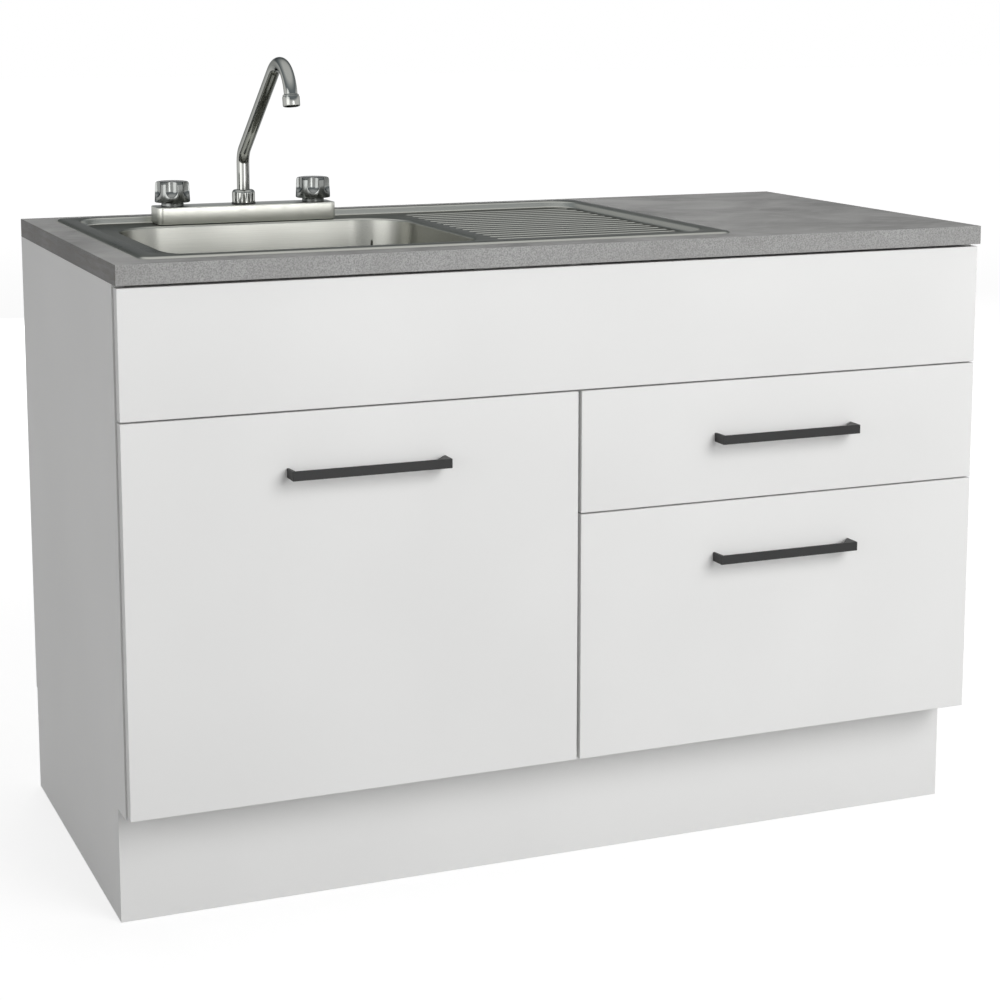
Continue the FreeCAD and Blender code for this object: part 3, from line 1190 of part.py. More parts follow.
def make_box(box_z, height):
    """Drawer box: two sides, back and grooved-in bottom."""
    y0, y1 = FRONT_BACK, BOX_Y1
    bottom_z = box_z + BOX_BOTTOM_UP
    bottom_top = bottom_z + BOX_BOTTOM_T
    x0, x1 = BOX_X0 + BOARD, BOX_X1 - BOARD
    reach = BOX_GROOVE + GROOVE_FIT
    bottom = block(x0 - BOX_GROOVE, x1 + BOX_GROOVE, y0, y1, bottom_z, bottom_top)
    slot = block(x0 - reach, x1 + reach, y0 - PAST, y1 + PAST, bottom_z, bottom_top)
    left = block(BOX_X0, x0, y0, y1, box_z, box_z + height).cut(slot)
    right = block(x1, BOX_X1, y0, y1, box_z, box_z + height).cut(slot)
    back = block(x0, x1, y1 - BOARD, y1, bottom_top, box_z + height)
    return [left, right], back, bottom


# ---------------------------------------------------------------- build
def build_top():
    """Worktop, sink, plumbing and tap."""
    write("worktop", make_worktop())
    write("sink", make_sink())
    write("sink_seal", make_seal())
    write("sink_clips", *make_clips())
    write("waste_body", make_waste())
    write("waste_nut", make_waste_nut())
    write("strainer_basket", make_basket())
    write("overflow_elbow", make_overflow_elbow())
    write("overflow_pipe", make_overflow_pipe())
    write("trap_head", make_trap_head())
    write("trap_cup", make_trap_cup())
    write("trap_inlet_nut", make_inlet_nut())
    write("trap_outlet_nut", make_outlet_nut())
    write("waste_pipe", make_waste_pipe())
    write("tap_block", make_block())
    write("tap_gasket", make_gasket())
    write("spout_ring", make_ring())
    write("spout_nut", make_spout_nut())
    write("spout", make_spout())
    write("aerator", make_aerator())
    write("knob_hot", make_knob(KNOBS_X[0]))
    write("knob_cold", make_knob(KNOBS_X[1]))
    write("knob_collars", *make_collars())
    write("tap_headworks", *make_headworks())
    write("tap_inlets", *make_inlets())
    write("tap_backnuts", *make_backnuts())


def build_cabinet():
    """Cabinet boards, plinth and blind panel."""
    write("side_left", make_side(0.0))
    write("side_right", make_side(WIDTH - BOARD).cut(back_slot(PLINTH_H)))
    floor = block(BAY_L0, BAY_R1, CARCASS_Y, DEPTH, PLINTH_H, FLOOR_Z)
    write("bottom_panel", floor.cut(back_slot(FLOOR_Z - GROOVE_IN - GROOVE_FIT)))
    middle = block(BAY_L1, BAY_R0, CARCASS_Y, DEPTH, FLOOR_Z, CARCASS_TOP)
    write("partition", middle.cut(back_slot(FLOOR_Z - PAST)))
    write("front_rails",
          block(BAY_L0, BAY_L1, CARCASS_Y, CARCASS_Y + FRONT_RAIL_D, RAIL_Z, RAIL_Z + BOARD),
          block(BAY_R0, BAY_R1, CARCASS_Y, CARCASS_Y + FRONT_RAIL_D, RAIL_Z, RAIL_Z + BOARD))
    write("rear_rails", *make_rear_rails())
    write("back_panel", block(BAY_R0 - GROOVE_IN, BAY_R1 + GROOVE_IN, BACK_Y, BACK_Y + BACK_T,
                              FLOOR_Z - GROOVE_IN, CARCASS_TOP))
    front, rear, sides = make_plinth()
    write("plinth_front", front)
    write("plinth_rear", rear)
    write("plinth_sides", *sides)
    write("blind_panel", make_front(SIDE_SET, WIDTH - SIDE_SET, BLIND_Z, BLIND_TOP))
    write("blind_brackets", *make_brackets())


def build_door():
    """Door with its hinges, handle and buffers."""
    write("door", make_door())
    write("door_handle", make_handle(DOOR_HANDLE_X, HIGH_HANDLE_Z))
    write("hinge_cups", *make_cups())
    write("hinge_arms", *make_arms())
    write("front_buffers", *make_buffers())


def build_drawers():
    """Upper drawer and lower pull-out with their runners."""
    x1 = WIDTH - SIDE_SET
    write("upper_front", make_front(GAP_X1, x1, UPPER_Z, FRONTS_TOP))
    write("lower_front", make_front(GAP_X1, x1, FRONTS_LOW, LOWER_TOP))
    write("upper_handle", make_handle(DRAWER_HANDLE_X, HIGH_HANDLE_Z))
    write("lower_handle", make_handle(DRAWER_HANDLE_X, LOW_HANDLE_Z))
    all_rails = []
    for level, box_z, height in (("upper", BOX_UP_Z, BOX_SIDE_UP),
                                 ("lower", BOX_LOW_Z, BOX_SIDE_LOW)):
        rails, slides, front_rollers, tail_rollers = make_runner(box_z)
        all_rails += rails
        write(level + "_drawer_rails", *slides)
        write(level + "_front_rollers", *front_rollers)
        write(level + "_tail_rollers", *tail_rollers)
        sides, back, bottom = make_box(box_z, height)
        write(level + "_box_sides", *sides)
        write(level + "_box_back", back)
        write(level + "_box_bottom", bottom)
    write("cabinet_rails", *all_rails)


os.makedirs("parts", exist_ok=True)
build_top()
build_cabinet()
build_door()
build_drawers()
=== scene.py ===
"""Kitchen sink unit: laminate worktop, melamine fronts, pressed steel sink, chromed mixer tap."""
import json
import logging
import math
from dataclasses import dataclass, field
from enum import Enum

import bmesh
import bpy
from mathutils import Matrix, Vector


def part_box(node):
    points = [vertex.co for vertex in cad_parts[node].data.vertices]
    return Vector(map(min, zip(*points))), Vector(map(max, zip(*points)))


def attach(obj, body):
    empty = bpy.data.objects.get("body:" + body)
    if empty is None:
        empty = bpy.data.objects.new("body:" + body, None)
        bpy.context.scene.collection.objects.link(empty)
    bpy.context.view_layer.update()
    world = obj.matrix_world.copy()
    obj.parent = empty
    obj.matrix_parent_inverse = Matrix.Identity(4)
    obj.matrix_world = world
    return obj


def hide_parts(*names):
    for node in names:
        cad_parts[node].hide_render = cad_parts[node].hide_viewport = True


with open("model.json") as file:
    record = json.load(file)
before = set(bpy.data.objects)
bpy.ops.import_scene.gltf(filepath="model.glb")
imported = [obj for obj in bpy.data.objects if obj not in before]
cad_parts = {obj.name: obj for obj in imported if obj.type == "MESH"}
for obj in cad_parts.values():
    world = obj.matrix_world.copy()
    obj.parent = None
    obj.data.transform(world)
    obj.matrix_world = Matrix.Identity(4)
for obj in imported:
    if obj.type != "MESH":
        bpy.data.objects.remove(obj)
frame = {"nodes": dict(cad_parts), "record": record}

Shape = bmesh.types.BMesh
Edges = list[bmesh.types.BMEdge]
Socket = bpy.types.NodeSocket

LOG = logging.getLogger("sink_unit")
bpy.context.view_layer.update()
MM = 0.001

# Where the worktop's left front corner lies at floor level, read from the frame.
WORKTOP_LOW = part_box("worktop")[0]
CORNER = Vector((WORKTOP_LOW.x, WORKTOP_LOW.y, 0.0))

# Directions: to the unit's right end, to the wall behind it, and up.
RIGHT = Vector((1.0, 0.0, 0.0))
TO_WALL = Vector((0.0, 1.0, 0.0))
UP = Vector((0.0, 0.0, 1.0))

WHITE = (1.0, 1.0, 1.0, 1.0)

# Broken edges: how finely they are cut, and past which angle an edge counts as one.
EDGE_SEGMENTS = 3
EDGE_ANGLE = math.radians(40.0)
# Vertices nearer than this are one vertex; faces flatter than this are one face.
MERGE_COPY = 0.002 * MM
MERGE_DRAWN = 0.001 * MM
FLAT = math.radians(0.4)


def at(x: float, y: float, z: float) -> Vector:
    """A point given in mm from the worktop's left front corner at floor level, in metres."""
    return CORNER + Vector((x, y, z)) * MM


# ------------------------------------------------------------------ finishes
def linear(code: str) -> tuple[float, float, float, float]:
    """Turns an sRGB hex colour into linear values.

    Args:
        code: Colour such as "#E0E0DF".

    Returns:
        Red, green, blue and an alpha of 1.
    """
    values = [int(code[k:k + 2], 16) / 255.0 for k in (1, 3, 5)]
    red, green, blue = [v / 12.92 if v <= 0.04045 else ((v + 0.055) / 1.055) ** 2.4
                        for v in values]
    return red, green, blue, 1.0


class Recipe:
    """The node tree of a material, or of the world, while it is put together."""

    def __init__(self, name: str, owner: bpy.types.ID | None = None) -> None:
        """Starts an empty tree.

        Args:
            name: Name of the new material.
            owner: What the tree belongs to, where that isn't a new material.
        """
        self.owner = owner or bpy.data.materials.new(name)
        self.owner.use_nodes = True
        self.tree = self.owner.node_tree
        self.tree.nodes.clear()

    def add(self, kind: str, inputs: dict | None = None, **settings: object) -> bpy.types.Node:
        """Adds a node with its settings and links.

        Args:
            kind: Node type, such as "ShaderNodeTexNoise".
            inputs: Value, or the socket that feeds it, for each input by name or number.
            **settings: Properties of the node.

        Returns:
            The new node.
        """
        made = self.tree.nodes.new(kind)
        for key, value in settings.items():
            setattr(made, key, value)
        for key, value in (inputs or {}).items():
            if isinstance(value, Socket):
                self.tree.links.new(value, made.inputs[key])
            else:
                made.inputs[key].default_value = value
        return made

    def pattern(self, size: float | tuple[float, float, float], detail: float = 2.0,
                distortion: float = 0.0) -> Socket:
        """Adds noise whose grains have a real size on Object coordinates.

        Args:
            size: Grain size in mm, one for all axes or one each for X, Y and Z.
            detail: Octaves of the noise.
            distortion: How far the noise is swirled.

        Returns:
            The factor socket, about 0.5 on average.
        """
        place = self.add("ShaderNodeTexCoord").outputs["Object"]
        sizes = (size, size, size) if isinstance(size, float) else size
        scale = Vector([1.0 / (along * MM) for along in sizes])
        mapped = self.add("ShaderNodeMapping", {"Vector": place, "Scale": scale})
        noise = self.add("ShaderNodeTexNoise",
                         {"Vector": mapped.outputs["Vector"], "Scale": 1.0, "Detail": detail,
                          "Distortion": distortion})
        return noise.outputs["Fac"]

    def spread(self, factor: Socket, low: float, high: float, start: float = 0.3,
               end: float = 0.7) -> Socket:
        """Maps a factor from start..end to low..high and returns the socket."""
        ranged = self.add("ShaderNodeMapRange",
                          {"Value": factor, "From Min": start, "From Max": end,
                           "To Min": low, "To Max": high})
        return ranged.outputs["Result"]

    def tones(self, factor: Socket, *stops: tuple[float, str]) -> Socket:
        """Colours a factor by stops of (position, hex colour) and returns the colour socket."""
        ramp = self.add("ShaderNodeValToRGB", {"Fac": factor})
        elements = ramp.color_ramp.elements
        while len(elements) < len(stops):
            elements.new(0.5)
        for element, (position, code) in zip(elements, stops):
            element.position = position
            element.color = linear(code)
        return ramp.outputs["Color"]

    def blend(self, factor: object, first: object, second: object, mode: str = "MIX") -> Socket:
        """Mixes two colours and returns the colour socket."""
        mix = self.add("ShaderNodeMix", {0: factor, 6: first, 7: second}, data_type="RGBA",
                       blend_type=mode)
        return mix.outputs[2]

    def relief(self, height: Socket, depth: float, strength: float = 1.0) -> Socket:
        """Adds a bump whose height is depth in mm and returns the normal socket."""
        bump = self.add("ShaderNodeBump", {"Height": height, "Distance": depth * MM,
                                           "Strength": strength})
        return bump.outputs["Normal"]

    def close(self, **inputs: object) -> bpy.types.Material:
        """Ends the tree with a Principled BSDF; underscores in names stand for spaces."""
        named = {key.replace("_", " "): value for key, value in inputs.items()}
        shader = self.add("ShaderNodeBsdfPrincipled", named)
        self.add("ShaderNodeOutputMaterial", {"Surface": shader.outputs["BSDF"]})
        return self.owner


@dataclass(frozen=True)
class ConcreteLaminate:
    """High-pressure laminate printed as trowelled concrete: soft clouds and a fine grit."""

    dark: str = "#6C6B69"
    mid: str = "#807F7D"
    light: str = "#949391"
    edge_dark: str = "#7E7E7D"
    edge_light: str = "#ACACAB"
    stain: str = "#675F52"
    # Flat grey multiplied into the left end strip: painted shade for the light falling off on that
    # side.
    end_shade: str = "#AEAEAE"
    grit_tones: tuple[tuple[float, str], ...] = ((0.3, "#8C8C8C"), (0.5, "#CDCDCD"),
                                                 (0.72, "#FFFFFF"))
    cloud: float = 130.0
    smear: tuple[float, float, float] = (46.0, 24.0, 24.0)
    streak: tuple[float, float, float] = (60.0, 55.0, 7.0)
    grit: float = 1.7
    strip: float = 0.6

    def material(self) -> bpy.types.Material:
        """Clouds of 130 mm over smears of 46 mm, grit drawn at 1.7 mm so that it shows.

        The glued-on edge strips, 0.6 mm thick, have their own print: an even, gritty one in front
        and a streaky, brownish one at the left end, which a flat grey multiply darkens further as
        painted shade.
        """
        mix = Recipe("concrete_laminate")
        clouds = mix.pattern(self.cloud, detail=6.0, distortion=0.6)
        smears = mix.pattern(self.smear, detail=4.0, distortion=1.2)
        grit = mix.pattern(self.grit, detail=3.0)
        ground = mix.tones(clouds, (0.32, self.dark), (0.5, self.mid), (0.68, self.light))
        smeared = mix.blend(mix.spread(smears, 0.0, 0.5, 0.45, 0.7), ground, linear(self.light))
        top = mix.blend(0.35, smeared, mix.tones(grit, *self.grit_tones), "MULTIPLY")
        speck = mix.tones(grit, (0.32, self.edge_dark), (0.66, self.edge_light))
        front = mix.blend(mix.spread(clouds, 0.0, 0.45), speck, linear(self.mid))
        streaks = mix.pattern(self.streak, detail=3.0, distortion=0.8)
        end = mix.blend(mix.spread(streaks, 0.0, 0.6, 0.4, 0.65), ground, linear(self.stain))
        place = mix.add("ShaderNodeTexCoord").outputs["Object"]
        spot = mix.add("ShaderNodeSeparateXYZ", {"Vector": place})
        in_front = self.under(mix, spot.outputs["Y"], CORNER.y + self.strip * MM)
        at_end = self.under(mix, spot.outputs["X"], CORNER.x + self.strip * MM)
        # Painted shade: the left end strip is darkened by a flat grey multiply.
        end_in_painted_shade = mix.blend(1.0, end, linear(self.end_shade), "MULTIPLY")
        colour = mix.blend(at_end, mix.blend(in_front, top, front), end_in_painted_shade)
        return mix.close(Base_Color=colour, Roughness=mix.spread(grit, 0.5, 0.66),
                         Normal=mix.relief(grit, 0.05, 0.5))

    def under(self, mix: Recipe, value: Socket, limit: float) -> Socket:
        """Gives 1 where a coordinate is under a limit, and 0 elsewhere."""
        test = mix.add("ShaderNodeMath", {0: value, 1: limit}, operation="LESS_THAN")
        return test.outputs["Value"]


@dataclass(frozen=True)
class WhiteMelamine:
    """White melamine-faced board: even white with a faint pearl texture from the press plate."""

    white: str = "#E6E6E5"
    shade: str = "#E1E1E0"
    drift: float = 400.0
    pearl: float = 1.6

    def material(self) -> bpy.types.Material:
        """Pearl of 1.6 mm in bump, tone drifting by a shade over 400 mm."""
        mix = Recipe("white_melamine")
        drift = mix.pattern(self.drift)
        pearl = mix.pattern(self.pearl)
        colour = mix.tones(drift, (0.35, self.shade), (0.65, self.white))
        return mix.close(Base_Color=colour, Roughness=mix.spread(pearl, 0.44, 0.56),
                         Normal=mix.relief(pearl, 0.02, 0.35))


@dataclass(frozen=True)
class SatinSteel:
    """Pressed stainless sheet with a brushed satin finish: long fine lines along X."""

    colour: str = "#C8C8C1"
    dark: str = "#BCBCB6"
    edge: str = "#565A5C"
    length: float = 90.0
    line: float = 0.7
    cloud: float = 160.0

    def material(self) -> bpy.types.Material:
        """Brush lines 90 mm long, drawn 0.7 mm wide so that they show at arm's length."""
        mix = Recipe("satin_stainless")
        lines = mix.pattern((self.length, self.line, self.line))
        cloud = mix.pattern(self.cloud, detail=3.0)
        colour = mix.blend(mix.spread(lines, 0.0, 1.0), linear(self.dark), linear(self.colour))
        polish = mix.spread(cloud, 0.29, 0.36)
        rough = mix.add("ShaderNodeMath", {0: polish, 1: mix.spread(lines, -0.03, 0.03)},
                        operation="ADD")
        return mix.close(Base_Color=colour, Metallic=1.0, Roughness=rough.outputs["Value"],
                         Specular_Tint=linear(self.edge), Normal=mix.relief(lines, 0.01, 0.25))


@dataclass(frozen=True)
class ChromedBrass:
    """Chrome plate on brass: mirror bright on the drawn tube, softer on the castings."""

    name: str
    colour: str
    edge: str
    polish: float
    wear: float

    def material(self) -> bpy.types.Material:
        """Water marks of 14 mm that only dull the mirror a little."""
        mix = Recipe(self.name)
        marks = mix.pattern(14.0, detail=4.0, distortion=0.5)
        return mix.close(Base_Color=linear(self.colour), Metallic=1.0,
                         Roughness=mix.spread(marks, self.polish, self.wear, 0.4, 0.75),
                         Specular_Tint=linear(self.edge),
                         Normal=mix.relief(marks, 0.02, 0.08))


@dataclass(frozen=True)
class MouldedSurface:
    """A moulded, coated or turned surface in one colour with its own fine grain."""

    name: str
    colour: str
    shade: str
    roughness: float
    grain: float
    depth: float
    metallic: float = 0.0

    def material(self) -> bpy.types.Material:
        """Grain in bump and roughness, tone drifting between colour and shade over 60 mm."""
        mix = Recipe(self.name)
        drift = mix.pattern(60.0, detail=3.0)
        grain = mix.pattern(self.grain)
        colour = mix.tones(drift, (0.35, self.shade), (0.65, self.colour))
        rough = mix.spread(grain, self.roughness - 0.06, self.roughness + 0.06)
        return mix.close(Base_Color=colour, Metallic=self.metallic, Roughness=rough,
                         Normal=mix.relief(grain, self.depth, 0.5))


@dataclass(frozen=True)
class PressedHardboard:
    """White-painted hardboard: matt face with short pressed fibres."""

    paint: str = "#D9D8D4"
    fibre: str = "#C9C7C1"

    def material(self) -> bpy.types.Material:
        """Fibres about 4 mm by 0.8 mm."""
        mix = Recipe("painted_hardboard")
        fibres = mix.pattern((4.0, 0.8, 0.8), detail=4.0, distortion=0.4)
        colour = mix.tones(fibres, (0.35, self.fibre), (0.6, self.paint))
        return mix.close(Base_Color=colour, Roughness=0.72, Normal=mix.relief(fibres, 0.06, 0.6))


class Finish(Enum):
    """The finishes of the unit, by the record's material slots where they have one."""

    worktop_laminate = ConcreteLaminate()
    white_board = WhiteMelamine()
    stainless = SatinSteel()
    # Chrome on drawn tube: clear reflections.
    chrome = ChromedBrass("chromed_tube", "#ABACA8", "#9A9C9C", 0.06, 0.13)
    # Chrome on cast and turned brass: darker and a little blurred.
    cast_chrome = ChromedBrass("chromed_casting", "#909290", "#6A6D6F", 0.15, 0.22)
    # Chrome over a ground block: satin, so that its faces look even.
    satin_chrome = ChromedBrass("satin_chromed_block", "#EAEAE2", "#989B9D", 0.32, 0.38)
    hardboard = PressedHardboard()
    # Powder coat on the zinc handles: black with a fine orange peel.
    black_plastic = MouldedSurface("black_powder_coat", "#1C1C1C", "#181818", 0.5, 1.2, 0.03)
    # EPDM: dull, nearly black, slightly porous.
    rubber = MouldedSurface("black_epdm", "#1C1C1C", "#161616", 0.82, 0.9, 0.04)
    # Zinc plate on steel strip: pale, bluish, patchy.
    zinc_steel = MouldedSurface("zinc_plated_steel", "#B4B8BB", "#A2A6AA", 0.34, 1.5, 0.01, 1.0)
    # Moulded polypropylene: waxy white.
    white_plastic = MouldedSurface("white_polypropylene", "#E4E4E0", "#DCDCD7", 0.38, 1.1, 0.02)
    # Turned brass with tool marks.
    brass = MouldedSurface("turned_brass", "#C9A96A", "#BA9857", 0.3, 0.7, 0.01, 1.0)
    # Nylon rollers: milky white.
    nylon = MouldedSurface("milky_nylon", "#DEDDD6", "#D2D1CA", 0.42, 0.8, 0.02)


MATERIALS: dict[str, bpy.types.Material] = {}


def material_for(finish: str) -> bpy.types.Material:
    """Gives the one material of a finish, made the first time it is asked for."""
    if finish not in MATERIALS:
        MATERIALS[finish] = Finish[finish].value.material()
    return MATERIALS[finish]


# ------------------------------------------------------------------ pieces
RECORD = frame["record"]
BODY_OF = {node: body for body, nodes in RECORD["behaviour"]["bodies"].items() for node in nodes}
SLOT_OF = {part["node"]: part["material_slot"] for part in RECORD["subparts"]}


def mesh_of(name: str, shape: Shape) -> bpy.types.Mesh:
    """Turns a bmesh into a mesh of that name and frees it."""
    mesh = bpy.data.meshes.new(name)
    shape.to_mesh(mesh)
    shape.free()
    return mesh


def linked(name: str, data: bpy.types.ID) -> bpy.types.Object:
    """Puts a mesh, a lamp or a camera into the scene as an object."""
    made = bpy.data.objects.new(name, data)
    bpy.context.scene.collection.objects.link(made)
    return made


@dataclass
class Piece:
    """A shown piece: its mesh, its finish, the body it rides on and the nodes it stands for."""

    name: str
    slot: str
    body: str
    nodes: tuple[str, ...] = ()
    smooth_angle: float = 32.0
    bevel: float = 0.0
    finish: str = ""

    def place(self, shape: Shape) -> bpy.types.Object:
        """Turns a bmesh in row coordinates into the finished piece.

        Args:
            shape: The shape; it is freed.

        Returns:
            The new object, riding on its body.
        """
        mesh = mesh_of(self.name, shape)
        mesh.shade_smooth()
        mesh.set_sharp_from_angle(angle=math.radians(self.smooth_angle))
        piece = linked(self.name, mesh)
        mesh.materials.append(material_for(self.finish or self.slot))
        if self.bevel:
            edge = piece.modifiers.new("edge", "BEVEL")
            edge.width = self.bevel * MM
            edge.segments = EDGE_SEGMENTS
            edge.limit_method = "ANGLE"
            edge.angle_limit = EDGE_ANGLE
            edge.harden_normals = True
        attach(piece, self.body)
        if self.nodes:
            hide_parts(*self.nodes)
        LOG.info("%s: %d faces, %s, rides on %s", self.name, len(mesh.polygons), self.slot,
                 self.body)
        return piece


def twin(node: str, bevel: float = 0.0, smooth_angle: float = 32.0) -> bpy.types.Object:
    """Dresses a CAD node through a merged copy with smooth faces and broken edges.

    Args:
        node: The node.
        bevel: Width of the broken edges in mm.
        smooth_angle: Angle in degrees past which an edge stays sharp.

    Returns:
        The piece that stands for the node.
    """
    shape = bmesh.new()
    shape.from_mesh(frame["nodes"][node].data)
    bmesh.ops.remove_doubles(shape, verts=shape.verts, dist=MERGE_COPY)
    bmesh.ops.dissolve_limit(shape, angle_limit=FLAT, verts=shape.verts, edges=shape.edges)
    return Piece(node + "_skin", SLOT_OF[node], BODY_OF[node], (node,), smooth_angle,
                 bevel).place(shape)


def carve(shape: Shape, cutter: Shape, sheet: float = 0.0) -> Shape:
    """Cuts one closed bmesh out of another.

    Args:
        shape: The body; it is freed.
        cutter: The cutter; it is freed.
        sheet: Thickness in mm that an open body gets under its faces first.

    Returns:
        The body with the cutter taken out.
    """
    pair = []
    for name, source in (("body", shape), ("cutter", cutter)):
        if not sheet or source is cutter:
            bmesh.ops.recalc_face_normals(source, faces=source.faces)
        pair.append(linked(name, mesh_of(name, source)))
    body, tool = pair
    if sheet:
        wall = body.modifiers.new("sheet", "SOLIDIFY")
        wall.thickness = sheet * MM
        wall.offset = -1.0
    cut = body.modifiers.new("cut", "BOOLEAN")
    cut.object = tool
    cut.solver = "EXACT"
    cut.operation = "DIFFERENCE"
    graph = bpy.context.evaluated_depsgraph_get()
    done = bmesh.new()
    done.from_mesh(body.evaluated_get(graph).data)
    for made in pair:
        mesh = made.data
        bpy.data.objects.remove(made)
        bpy.data.meshes.remove(mesh)
    bmesh.ops.remove_doubles(done, verts=done.verts, dist=MERGE_COPY)
    return done


def lathe(points: list[tuple[float, float]], steps: int = 64) -> Shape:
    """Spins a profile about Z.

    Args:
        points: Profile of (radius, height) in mm, from the axis or an inner edge outwards.
        steps: Segments round the axis.

    Returns:
        The closed shape, upright at the origin, in metres.
    """
    shape = bmesh.new()
    verts = [shape.verts.new((radius * MM, 0.0, height * MM)) for radius, height in points]
    edges = [shape.edges.new(pair) for pair in zip(verts, verts[1:])]
    if points[0][0] > 0.0:
        edges.append(shape.edges.new((verts[-1], verts[0])))
    bmesh.ops.spin(shape, geom=verts + edges, cent=(0, 0, 0), axis=(0, 0, 1),
                   angle=2.0 * math.pi, steps=steps, use_merge=True)
    bmesh.ops.remove_doubles(shape, verts=shape.verts, dist=MERGE_DRAWN)
    bmesh.ops.recalc_face_normals(shape, faces=shape.faces)
    return shape


def moved(shape: Shape, matrix: Matrix) -> Shape:
    """Moves every vertex of a bmesh by a matrix and returns it."""
    bmesh.ops.transform(shape, matrix=matrix, verts=shape.verts)
    return shape


def facing(out: Vector) -> Matrix:
    """Gives the turn that points a shape's Z axis along a direction."""
    return UP.rotation_difference(out).to_matrix().to_4x4()


def cuboid(size: tuple[float, float, float], place: Matrix | None = None) -> Shape:
    """Makes a box about the origin from its sizes in metres, then moves it by a matrix."""
    shape = bmesh.new()
    bmesh.ops.create_cube(shape, size=1.0)
    return moved(shape, (place or Matrix.Identity(4)) @ Matrix.Diagonal((*size, 1.0)))


def rounded(shape: Shape, parts: list, radius: float, segments: int,
            affect: str = "EDGES") -> list[bmesh.types.BMVert]:
    """Rounds edges or corners of a bmesh.

    Args:
        shape: The bmesh.
        parts: Its edges, or its vertices where corners are rounded.
        radius: How far the rounding reaches, in mm.
        segments: Segments of each rounding.
        affect: "EDGES" or "VERTICES".

    Returns:
        The new vertices.
    """
    return bmesh.ops.bevel(shape, geom=parts, offset=radius * MM, offset_type="OFFSET",
                           affect=affect, segments=segments, profile=0.5, material=-1)["verts"]


def circle(shape: Shape, centre: Vector, radius: float, count: int) -> Edges:
    """Draws a level circle of a radius in mm and returns its edges."""
    verts = bmesh.ops.create_circle(shape, segments=count, radius=radius * MM,
                                    matrix=Matrix.Translation(centre))["verts"]
    return list({edge for vert in verts for edge in vert.link_edges})


def joined(*shapes: Shape) -> Shape:
    """Puts several bmeshes into one and frees them."""
    whole = bmesh.new()
    for shape in shapes:
        mesh = mesh_of("part", shape)
        whole.from_mesh(mesh)
        bpy.data.meshes.remove(mesh)
    return whole


# ------------------------------------------------------------------ sink
@dataclass
class Station:
    """One closed outline of the sheet: a rounded rectangle at a height, in mm."""

    left: float
    right: float
    front: float
    back: float
    radius: float
    height: float

    def inset(self, by: float, height: float, radius: float | None = None) -> "Station":
        """Gives the outline moved inwards by a distance, at another height."""
        corner = self.radius - by if radius is None else radius
        return Station(self.left + by, self.right - by, self.front + by, self.back - by,
                       corner, height)

    def draw(self, shape: Shape, segments: int) -> Edges:
        """Draws the outline with round corners.

        Args:
            shape: The bmesh that takes it.
            segments: Segments of each corner.

        Returns:
            Its edges.
        """
        corners = [(self.left, self.front), (self.right, self.front), (self.right, self.back),
                   (self.left, self.back)]
        verts = [shape.verts.new(at(x, y, self.height)) for x, y in corners]
        shape.faces.new(verts)
        made = rounded(shape, verts, self.radius, segments, "VERTICES")
        face = next(f for f in shape.faces if any(v in made for v in f.verts))
        edges = list(face.edges)
        bmesh.ops.delete(shape, geom=[face], context="FACES_ONLY")
        return edges


